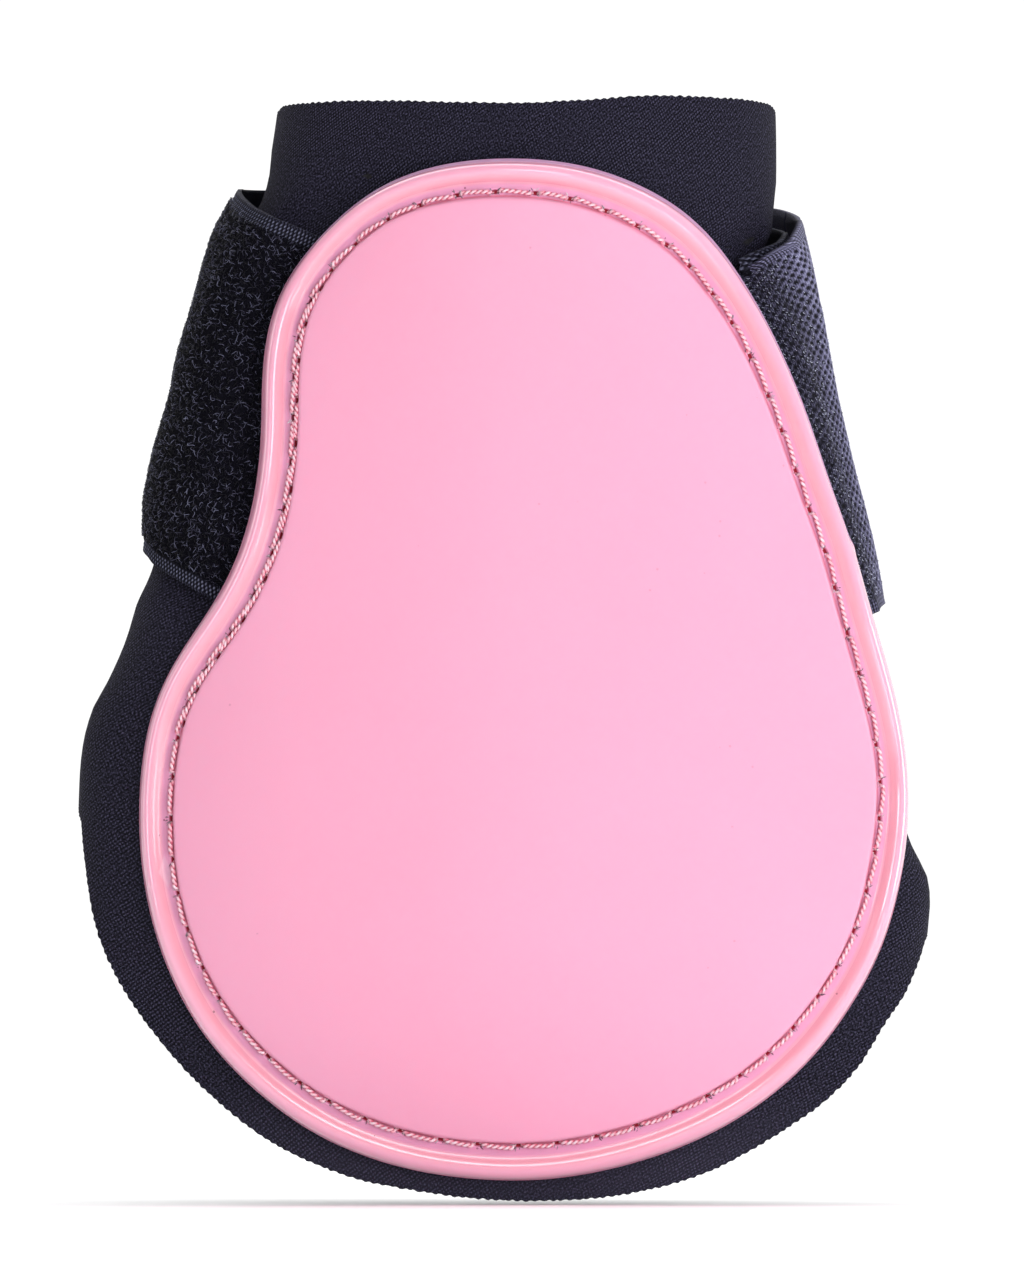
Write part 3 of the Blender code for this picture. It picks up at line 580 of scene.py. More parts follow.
class Pile:
    """Collects separate small bodies into one object's mesh."""

    def __init__(self):
        self.v, self.q, self.t, self.a, self.n = [], [], [], [], 0

    def add(self, verts, quads, tris, shade=None):
        self.v.append(verts)
        self.q.append(quads + self.n)
        self.t.append(tris + self.n)
        self.a.append(np.zeros(len(verts)) if shade is None else shade)
        self.n += len(verts)

    def done(self, name, mats, sharp=None):
        return mesh_object(name, np.concatenate(self.v), np.concatenate(self.q), np.concatenate(self.t),
                           mats, {"shade": np.concatenate(self.a)}, sharp=sharp)


def wobble(n, size, seed, lo=0.0):
    """Smooth periodic noise of n samples: a sum of a few random waves."""
    r = np.random.default_rng(seed)
    x = np.arange(n) / n
    out = np.zeros(n)
    for f in size:
        out += r.normal() * np.sin(2 * math.pi * (f * x + r.random()))
    return out / max(1, len(size)) ** 0.5


def hashed(i, j, seed):
    """A repeatable value from 0 to 1 for each pair of whole numbers."""
    h = np.sin(i * 127.1 + j * 311.7 + seed * 74.7) * 43758.5453
    return h - np.floor(h)


# =====================================================================
# materials
# =====================================================================
class Mat:
    def __init__(self, name, rough=0.5, spec=0.5, sheen=0.0, sheen_rough=0.5, coat=0.0, coat_rough=0.1):
        self.m = bpy.data.materials.new(name)
        self.m.use_nodes = True
        self.t = self.m.node_tree
        self.b = self.t.nodes["Principled BSDF"]
        self.b.inputs["Roughness"].default_value = rough
        self.b.inputs["Specular IOR Level"].default_value = spec
        self.b.inputs["Sheen Weight"].default_value = sheen
        self.b.inputs["Sheen Roughness"].default_value = sheen_rough
        self.b.inputs["Coat Weight"].default_value = coat
        self.b.inputs["Coat Roughness"].default_value = coat_rough

    def put(self, sock, val):
        if isinstance(val, bpy.types.NodeSocket):
            self.t.links.new(val, sock)
        elif val is not None:
            sock.default_value = val

    def math(self, op, a, b=None, c=None, clamp=False):
        n = self.t.nodes.new("ShaderNodeMath")
        n.operation = op
        n.use_clamp = clamp
        for i, x in enumerate((a, b, c)):
            if x is not None:
                self.put(n.inputs[i], x)
        return n.outputs[0]

    def vmath(self, op, a, b=None, scale=None):
        n = self.t.nodes.new("ShaderNodeVectorMath")
        n.operation = op
        self.put(n.inputs[0], a)
        if b is not None:
            self.put(n.inputs[1], b)
        if scale is not None:
            self.put(n.inputs["Scale"], scale)
        return n.outputs["Value"] if op == "DOT_PRODUCT" else n.outputs[0]

    def attr(self, name, vector=False):
        n = self.t.nodes.new("ShaderNodeAttribute")
        n.attribute_name = name
        return n.outputs["Vector" if vector else "Fac"]

    def coord(self):
        return self.t.nodes.new("ShaderNodeTexCoord").outputs["Object"]

    def noise(self, vec, scale, detail=2.0, rough=0.5, distortion=0.0, colour=False):
        n = self.t.nodes.new("ShaderNodeTexNoise")
        self.put(n.inputs["Vector"], vec)
        n.inputs["Scale"].default_value = scale
        n.inputs["Detail"].default_value = detail
        n.inputs["Roughness"].default_value = rough
        n.inputs["Distortion"].default_value = distortion
        return n.outputs["Color" if colour else 0]

    def voronoi(self, vec, scale, feature="F1", rand=1.0):
        n = self.t.nodes.new("ShaderNodeTexVoronoi")
        n.feature = feature
        self.put(n.inputs["Vector"], vec)
        n.inputs["Scale"].default_value = scale
        n.inputs["Randomness"].default_value = rand
        return n.outputs["Distance"]

    def ramp(self, fac, stops, mode="LINEAR"):
        n = self.t.nodes.new("ShaderNodeValToRGB")
        n.color_ramp.interpolation = mode
        el = n.color_ramp.elements
        while len(el) < len(stops):
            el.new(0.5)
        for e, (p, c) in zip(el, stops):
            e.position = p
            e.color = (*c, 1) if len(c) == 3 else c
        self.put(n.inputs[0], fac)
        return n.outputs[0]

    def map(self, val, a, b, c=0.0, d=1.0, smooth=False):
        n = self.t.nodes.new("ShaderNodeMapRange")
        n.interpolation_type = "SMOOTHSTEP" if smooth else "LINEAR"
        self.put(n.inputs[0], val)
        for i, x in enumerate((a, b, c, d)):
            n.inputs[i + 1].default_value = x
        return n.outputs[0]

    def mix(self, fac, a, b, mode="MIX"):
        n = self.t.nodes.new("ShaderNodeMix")
        n.data_type = "RGBA"
        n.blend_type = mode
        self.put(n.inputs[0], fac)
        for sock, val in ((n.inputs[6], a), (n.inputs[7], b)):
            self.put(sock, (*val, 1) if isinstance(val, tuple) and len(val) == 3 else val)
        return n.outputs[2]

    def bump(self, height, strength=1.0, distance=0.0001, normal=None):
        n = self.t.nodes.new("ShaderNodeBump")
        n.inputs["Strength"].default_value = strength
        n.inputs["Distance"].default_value = distance
        self.put(n.inputs["Height"], height)
        if normal is not None:
            self.put(n.inputs["Normal"], normal)
        return n.outputs[0]

    def wave(self, flat, direction, pitch, phase=None):
        """0..1 stripes: flat is in mm, direction a unit vector, pitch in mm."""
        d = self.vmath("DOT_PRODUCT", flat, (direction[0] / pitch * 2 * math.pi,
                                             direction[1] / pitch * 2 * math.pi, 0.0))
        if phase is not None:
            d = self.math("ADD", d, phase)
        return self.math("MULTIPLY_ADD", self.math("SINE", d), 0.5, 0.5)

    def colour(self, c):
        self.put(self.b.inputs["Base Color"], (*c, 1) if isinstance(c, tuple) and len(c) == 3 else c)
        return self

    def rough(self, r):
        self.put(self.b.inputs["Roughness"], r)
        return self

    def normal(self, n):
        self.put(self.b.inputs["Normal"], n)
        return self


LIGHT = 1.45     # how bright white paper would be here; colours are given as seen


def srgb(r, g, b):
    def f(c):
        c /= 255.0
        return (c / 12.92 if c <= 0.04045 else ((c + 0.055) / 1.055) ** 2.4) / LIGHT
    return (f(r), f(g), f(b))


def shell_material(name, glossy):
    m = Mat(name, rough=0.30, spec=0.8 if glossy else 0.3, coat=1.0 if glossy else 0.0, coat_rough=0.13)
    rim = m.attr("rim")          # mm in from the edge
    pit = m.attr("pit")
    mark = m.attr("mark")
    lip = m.attr("lip")
    obj = m.coord()
    body = m.mix(m.map(m.noise(obj, 22.0, 2.0), 0.3, 0.7), srgb(254, 174, 204), srgb(255, 177, 208))
    # Colours across the rim. The coral over the bead's inner slope is painted shade in the crease, and the deeper red
    # about 5.2 to 5.3 mm in is painted shade at the foot of the panel's step, beside the thread.
    stops = [(0.00, srgb(246, 172, 206)), (0.085, srgb(255, 178, 206)),
             (0.33, srgb(255, 178, 206)), (0.43, srgb(255, 169, 191)), (0.50, srgb(254, 162, 183)),
             (0.56, srgb(251, 162, 187)), (0.62, srgb(244, 165, 202)), (0.825, srgb(240, 162, 199)),
             (0.86, srgb(240, 142, 172)), (0.882, srgb(238, 130, 158)), (0.905, srgb(246, 162, 194)),
             (0.945, srgb(254, 175, 206))]
    edge = m.ramp(m.map(rim, 0.0, 6.0), stops)
    col = m.mix(m.map(rim, 5.55, 5.75), edge, body)
    # the thin flash outside the bead is see-through: lilac over the dark cloth
    thin = m.math("MULTIPLY", m.map(rim, 0.50, 0.40), lip)
    col = m.mix(m.math("MULTIPLY", thin, 0.8), col, srgb(176, 140, 178))
    # painted shade: a dark violet line along the shell's outer edge, like the thin shadow the edge casts on the sleeve
    painted_edge_shadow = m.map(rim, 0.06, 0.0)
    col = m.mix(m.math("MULTIPLY", painted_edge_shadow, 0.4), col, srgb(120, 80, 140))
    # dust caught in the channel, a few specks on the face
    dust = m.voronoi(obj, 620.0)
    keep = m.math("GREATER_THAN", m.noise(obj, 330.0, 0.0), 0.62)
    speck = m.math("MULTIPLY", m.math("LESS_THAN", dust, 0.105), keep)
    inside = m.math("MULTIPLY", m.map(rim, 2.9, 3.1), m.map(rim, 5.6, 5.2))
    rare = m.math("GREATER_THAN", m.noise(obj, 75.0, 0.0), 0.66)
    speck = m.math("MULTIPLY", speck, m.math("MAXIMUM", inside, m.math("MULTIPLY", rare, 0.35)))
    col = m.mix(m.math("MULTIPLY", speck, 0.7), col, srgb(134, 60, 84))
    col = m.mix(m.math("MULTIPLY", mark, 0.38), col, srgb(255, 214, 232))
    col = m.mix(m.map(pit, 0.10, 0.6), col, srgb(168, 34, 54))
    m.colour(col)
    r = m.map(m.noise(obj, 60.0, 3.0), 0.2, 0.8, 0.40, 0.46)
    bead = m.map(rim, 3.5, 2.9)
    r = m.math("SUBTRACT", r, m.math("MULTIPLY", bead, 0.24))
    r = m.math("SUBTRACT", r, m.math("MULTIPLY", inside, 0.06))
    m.rough(r)
    peel = m.noise(obj, 1500.0, 2.0, 0.6)
    b1 = m.bump(m.noise(obj, 120.0, 2.0), 0.16, 0.0004)
    m.normal(m.bump(peel, 0.10, 0.00004, b1))
    b = m.b
    b.inputs["Subsurface Weight"].default_value = 0.30
    b.inputs["Subsurface Radius"].default_value = (1.0, 0.35, 0.45)
    b.inputs["Subsurface Scale"].default_value = 0.0012
    return m.m


def thread_material(name, light, dark):
    m = Mat(name, rough=0.38, spec=0.55, sheen=0.12)
    shade = m.attr("shade")
    obj = m.coord()
    grain = m.math("MULTIPLY", m.noise(obj, 2600.0, 1.0), 0.45)
    # the shade value paints the twist: the light colour is a painted highlight where a ply turns up, the red end a
    # painted shadow where it turns under
    col = m.ramp(m.math("ADD", shade, m.math("SUBTRACT", grain, 0.2)),
                 [(0.0, light), (0.34, srgb(250, 166, 184)), (0.62, dark), (1.0, srgb(196, 66, 92))])
    m.colour(col)
    m.normal(m.bump(m.noise(obj, 9000.0, 1.0), 0.4, 0.00003))
    return m.m


def burr_material():
    m = Mat("needle_burrs", rough=0.35, spec=0.6)
    m.colour(m.ramp(m.attr("shade"), [(0.0, srgb(70, 44, 56)), (0.35, srgb(120, 88, 104)),
                                      (0.7, srgb(176, 150, 164)), (1.0, srgb(226, 212, 220))]))
    return m.m


def knit(m, flat):
    """Fine slanted ribs of a warp knit; returns a height from 0 to 1."""
    wander = m.math("MULTIPLY", m.noise(flat, 0.5, 3.0), 5.0)
    jig = m.math("MULTIPLY", m.noise(flat, 2.2, 1.0), 2.6)
    a = math.radians(31)
    rib = m.wave(flat, (-math.sin(a), math.cos(a)), 0.46, m.math("ADD", wander, jig))
    b = math.radians(-62)
    cross = m.wave(flat, (-math.sin(b), math.cos(b)), 0.50, m.math("ADD", wander, m.math("MULTIPLY", jig, 1.6)))
    # how clearly the ribs read changes over the cloth
    clear = m.map(m.noise(flat, 0.06, 2.0), 0.35, 0.65, 0.35, 1.0)
    grain = m.map(m.noise(flat, 3.0, 2.0, 0.75), 0.36, 0.66)
    ribs = m.math("MULTIPLY", m.math("POWER", rib, 1.5),
                  m.math("MULTIPLY_ADD", m.math("POWER", cross, 1.4), 0.85, 0.15))
    h = m.math("MULTIPLY", m.math("MULTIPLY", ribs, clear), m.math("MULTIPLY_ADD", grain, 1.0, 0.62))
    g = m.math("MULTIPLY", m.math("POWER", grain, 1.6), m.math("MULTIPLY_ADD", clear, -0.6, 0.95))
    return m.math("ADD", h, g, clamp=True)


def jersey_material(name="neoprene_jersey"):
    m = Mat(name, rough=0.8, spec=0.09, sheen=0.0, sheen_rough=0.5)
    flat = m.attr("flat", True)
    h = knit(m, flat)
    fuzz = m.noise(flat, 7.5, 2.0, 0.7)
    painted_yarn_glint = m.map(m.noise(flat, 2.9, 2.0, 0.7), 0.68, 0.80, smooth=True)
    slow = m.noise(flat, 0.05, 3.0)
    low = m.mix(m.map(slow, 0.3, 0.7), srgb(7, 6, 13), srgb(11, 10, 18))
    col = m.mix(m.math("POWER", h, 1.4), low, srgb(76, 73, 98))
    # painted highlight: bright glints of the yarn on the rib tops
    col = m.mix(m.math("MULTIPLY", m.math("MULTIPLY", painted_yarn_glint, h), 0.9), col, srgb(150, 156, 184))
    # painted light: the jersey is made paler below about 16 mm, most below 4 mm, standing in for light bounced up from
    # the floor
    high = m.vmath("DOT_PRODUCT", m.coord(), (0.0, 0.0, 1.0))
    col = m.mix(m.map(high, 0.004, 0.016, 0.11, 0.0), col, srgb(112, 108, 132))
    m.colour(col)
    m.rough(m.map(h, 0.0, 1.0, 0.88, 0.66))
    m.normal(m.bump(m.math("MULTIPLY_ADD", fuzz, 0.35, h), 0.75, 0.00012))
    return m.m


def foam_material():
    m = Mat("chloroprene_foam", rough=0.92, spec=0.2)
    obj = m.coord()
    cells = m.voronoi(obj, 3300.0)
    big = m.voronoi(obj, 1500.0)
    col = m.mix(m.map(cells, 0.1, 0.7), srgb(14, 13, 15), srgb(40, 39, 43))
    m.colour(col)
    h = m.math("ADD", cells, m.math("MULTIPLY", big, 0.8))
    m.normal(m.bump(h, 0.7, 0.00012))
    return m.m


def loop_ground_material():
    m = Mat("loop_tape_ground", rough=0.9, spec=0.06, sheen=0.0)
    flat = m.attr("flat", True)
    sel = m.attr("sel")
    h = m.attr("relief")
    fuzz = m.noise(flat, 3.2, 4.0, 0.75)
    vein = m.noise(flat, 2.4, 2.0, 0.6, 1.6)
    curl = m.map(m.math("ABSOLUTE", m.math("SUBTRACT", vein, 0.5)), 0.045, 0.0)
    dark = m.mix(m.map(fuzz, 0.35, 0.75), srgb(3, 3, 7), srgb(15, 14, 22))
    dark = m.mix(m.math("MULTIPLY", curl, 0.6), dark, srgb(36, 35, 48))
    weave = m.ramp(h, [(0.0, srgb(6, 5, 11)), (0.45, srgb(24, 23, 34)), (0.8, srgb(84, 85, 106)),
                       (1.0, srgb(128, 132, 156))])
    m.colour(m.mix(sel, dark, weave))
    m.rough(m.map(sel, 0, 1, 0.95, 0.58))
    m.normal(m.bump(m.math("ADD", fuzz, m.math("MULTIPLY", m.noise(flat, 9.0, 2.0), 0.5)), 0.8, 0.00016))
    return m.m


def pile_material():
    m = Mat("loop_pile", rough=0.45, spec=0.28)
    m.colour(m.ramp(m.attr("shade"), [(0.0, srgb(5, 5, 10)), (0.45, srgb(22, 21, 33)),
                                      (0.75, srgb(78, 77, 100)), (1.0, srgb(134, 136, 164))]))
    return m.m


def hook_ground_material():
    m = Mat("hook_tape_ground", rough=0.55, spec=0.16, sheen=0.0)
    flat = m.attr("flat", True)
    h = m.attr("relief")
    fuzz = m.noise(flat, 5.0, 3.0, 0.7)
    yarn = m.wave(flat, (1.0, 0.0), 0.30, m.math("MULTIPLY", m.noise(flat, 1.4, 2.0), 2.0))
    hh = m.math("MULTIPLY_ADD", m.math("SUBTRACT", yarn, 0.5), 0.16, h)
    hh = m.math("MULTIPLY_ADD", m.math("SUBTRACT", fuzz, 0.5), 0.6, hh)
    # short ribs of dots along the woven edges
    rib = m.math("MULTIPLY", m.wave(flat, (1.0, 0.0), 0.50, m.math("MULTIPLY", m.noise(flat, 0.8, 1.0), 2.0)),
                 m.math("MULTIPLY_ADD", m.wave(flat, (0.0, 1.0), 0.46), 0.6, 0.4))
    edge = m.math("MULTIPLY", m.attr("sel"), m.math("MULTIPLY_ADD", rib, 0.5, -0.28))
    hh = m.math("ADD", hh, edge)
    m.colour(m.ramp(hh, [(0.0, srgb(6, 5, 12)), (0.3, srgb(24, 22, 38)),
                         (0.62, srgb(106, 104, 136)), (1.0, srgb(172, 172, 206))]))
    m.rough(m.map(hh, 0.0, 1.0, 0.75, 0.48))
    m.normal(m.bump(m.math("MULTIPLY_ADD", fuzz, 0.8, yarn), 0.45, 0.00007))
    return m.m


def monofilament_material():
    m = Mat("hook_monofilament", rough=0.18, spec=0.8)
    m.colour(m.ramp(m.attr("shade"), [(0.0, srgb(40, 39, 56)), (0.5, srgb(104, 105, 132)), (1.0, srgb(186, 190, 214))]))
    return m.m


def tack_material():
    m = Mat("tack_thread", rough=0.6, spec=0.4, sheen=0.1)
    obj = m.coord()
    m.colour(m.mix(m.wave(m.vmath("SCALE", obj, scale=1000.0), (0.6, 0.8), 0.5), srgb(14, 14, 18), srgb(48, 48, 58)))
    m.normal(m.bump(m.noise(obj, 5000.0), 0.5, 0.00006))
    return m.m


MAT_SHELL = shell_material("shell_pvc_satin", False)
MAT_BEAD = shell_material("shell_pvc_bead", True)
MAT_THREAD = thread_material("seam_thread", srgb(255, 230, 242), srgb(218, 96, 124))
MAT_BURR = burr_material()
MAT_JERSEY = jersey_material()
MAT_FOAM = foam_material()
MAT_LOOP = loop_ground_material()
MAT_PILE = pile_material()
MAT_HOOK = hook_ground_material()
MAT_MONO = monofilament_material()
MAT_TACK = tack_material()

# =====================================================================
# the shell
# =====================================================================
def periodic_smooth(a, sigma):
    """Gaussian smoothing of a closed run of samples."""
    n = len(a)
    k = np.fft.fftfreq(n)
    g = np.exp(-2 * (math.pi * k * sigma) ** 2)
    return np.real(np.fft.ifft(np.fft.fft(a) * g))


def outline(count):
    """Closed outline of the shell in the front view, evenly spaced."""
    pts = np.array(SHELL_EDGE, float)
    n = len(pts)
    t = np.arange(96)[:, None] / 96.0
    fine = []
    for i in range(n):
        p0, p1, p2, p3 = pts[i - 1], pts[i], pts[(i + 1) % n], pts[(i + 2) % n]
        fine.append(0.5 * (2 * p1 + (p2 - p0) * t + (2 * p0 - 5 * p1 + 4 * p2 - p3) * t**2
                           + (3 * p1 - p0 - 3 * p2 + p3) * t**3))
    fine = np.concatenate(fine)
    closed = np.vstack([fine, fine[:1]])
    acc = np.concatenate([[0], np.cumsum(np.linalg.norm(np.diff(closed, axis=0), axis=1))])
    want = acc[-1] * np.arange(count) / count
    px = np.interp(want, acc, closed[:, 0])
    pv = np.interp(want, acc, closed[:, 1])
    px, pv = periodic_smooth(px, count * 0.009), periodic_smooth(pv, count * 0.009)
    return px, pv


RIM_N = 1880
edge_px, edge_pv = outline(RIM_N)
# small kink where the mould halves met, on the right
kink = np.exp(-(((edge_px - 853) ** 2 + (edge_pv - 548) ** 2) / 7.0 ** 2)) * 1.6
edge_z = gz(edge_pv)
edge_s = dish_s(gx(edge_px), edge_z, 1.5 * MM)
ds = periodic_smooth(np.roll(edge_s, -1) - np.roll(edge_s, 1), 22)
dz = periodic_smooth(np.roll(edge_z, -1) - np.roll(edge_z, 1), 22)
ln = np.hypot(ds, dz)
in_s, in_z = dz / ln, -ds / ln      # inward normal; the outline runs clockwise
edge_s = edge_s - in_s * kink * GRID
edge_z = edge_z - in_z * kink * GRID
pos = np.stack([edge_s, edge_z], -1)
EDGE_LEN = float(np.linalg.norm(np.roll(pos, -1, 0) - pos, axis=1).sum())
EDGE_ACC = np.concatenate([[0], np.cumsum(np.linalg.norm(np.roll(pos, -1, 0) - pos, axis=1))])


def without_kink(inset):
    """Moves in as far as the kink moved out, past the bead's outer side."""
    t = np.clip((inset / MM - 0.3) / 0.9, 0, 1)
    return t * t * (3 - 2 * t)


def on_rim(l, inset, d):
    """Point at arc length l along the shell's edge, inset mm in, d above."""
    l = np.mod(l, EDGE_LEN)

    def at(a):
        return np.interp(l, EDGE_ACC, np.append(a, a[0]))
    inset = inset + at(kink) * GRID * without_kink(inset)
    s = at(edge_s) + at(in_s) * inset
    z = at(edge_z) + at(in_z) * inset
    return dish(s, z, d)


def rim_frame(l, inset):
    p = on_rim(l, inset, 0.0)
    n = unit(on_rim(l, inset, MM) - p)
    t = unit(on_rim(l + 0.3 * MM, inset, 0.0) - on_rim(l - 0.3 * MM, inset, 0.0))
    return p, t, n, unit(np.cross(n, t))


def rim_px(l):
    l = np.mod(l, EDGE_LEN)
    return (np.interp(l, EDGE_ACC, np.append(edge_px, edge_px[0])),
            np.interp(l, EDGE_ACC, np.append(edge_pv, edge_pv[0])))


# profile of the rim: (in from the edge, height), mm
PROFILE = [(0.0, 0.62), (0.0, 0.9), (0.0, 1.12), (0.05, 1.26), (0.14, 1.34), (0.28, 1.38), (0.40, 1.42),
           (0.48, 1.56), (0.56, 1.82), (0.68, 2.14), (0.84, 2.44), (1.04, 2.70), (1.28, 2.88),
           (1.55, 2.99), (1.82, 3.02), (2.05, 2.99), (2.24, 2.93), (2.42, 2.84), (2.58, 2.73),
           (2.73, 2.60), (2.88, 2.45), (3.02, 2.30), (3.16, 2.15), (3.30, 2.02), (3.42, 1.92),
           (3.54, 1.85),
           (3.66, 1.81), (3.78, 1.80), (3.90, 1.80), (4.04, 1.80), (4.18, 1.80),
           (4.32, 1.80), (4.46, 1.80), (4.60, 1.80), (4.74, 1.80), (4.88, 1.80), (5.02, 1.80),
           (5.12, 1.83), (5.22, 1.90), (5.32, 2.01), (5.42, 2.14), (5.52, 2.26), (5.62, 2.36),
           (5.74, 2.44), (5.90, 2.49), (6.10, 2.51), (6.6, 2.52)]


ROUND_BEAD = {2: 1.16, 3: 1.40, 4: 1.62, 5: 1.86, 6: 2.02, 7: 2.12, 8: 2.22, 9: 2.36, 10: 2.53, 11: 2.72}


def flash_shows(px, pv):
    """Share of the rim at which the thin flash outside the bead can be seen."""
    a = step(190, 330, px) * (1 - step(225, 330, pv))
    return np.maximum(a, step(600, 700, px) * (1 - step(535, 560, pv)))


def stitch_inset(l):
    """The seam runs close to the panel's step at the left and below, and
    further out on the right."""
    px, pv = rim_px(l)
    right = step(560, 760, px) * (1 - step(800, 980, pv))
    top = step(395, 470, px) * (1 - step(560, 700, px)) * (1 - step(300, 400, pv))
    return (4.94 - 0.34 * np.maximum(right, 0.9 * top)) * MM


STITCHES = 68
hole_l = EDGE_LEN * (np.arange(STITCHES) + 0.35 * (rng.random(STITCHES) - 0.5) * 0.35) / STITCHES
# second pass of the seam where it was started and locked off, on the left
_px, _pv = rim_px(hole_l)
again = (_px < 340) & (_pv > 262) & (_pv < 735)
hole2_l = hole_l[again] + 0.42 * EDGE_LEN / STITCHES


def first_inset(l):
    px, pv = rim_px(l)
    side = (1 - step(300, 340, px)) * step(240, 285, pv) * (1 - step(715, 760, pv))
    return stitch_inset(l) - 0.22 * MM * side


def second_inset(l):
    return stitch_inset(l) + 0.24 * MM


all_holes = np.concatenate([hole_l, hole2_l])
hole_in = np.concatenate([first_inset(hole_l), second_inset(hole2_l)])


def pits(l, inset):
    """Depth share of the needle holes at points of the channel."""
    out = np.zeros(np.broadcast(l, inset).shape)
    lip = np.zeros_like(out)
    l, inset = np.broadcast_arrays(l, inset)
    for hl, hi in zip(all_holes, hole_in):
        dl = (l - hl + EDGE_LEN / 2) % EDGE_LEN - EDGE_LEN / 2
        near = np.abs(dl) < 2 * MM
        r2 = (dl[near] / (0.66 * MM)) ** 2 + ((inset[near] - hi) / (0.27 * MM)) ** 2
        out[near] = np.maximum(out[near], np.exp(-r2 ** 1.5))
        lip[near] = np.maximum(lip[near], np.exp(-((np.sqrt(r2) - 1.55) / 0.45) ** 2))
    return out, lip


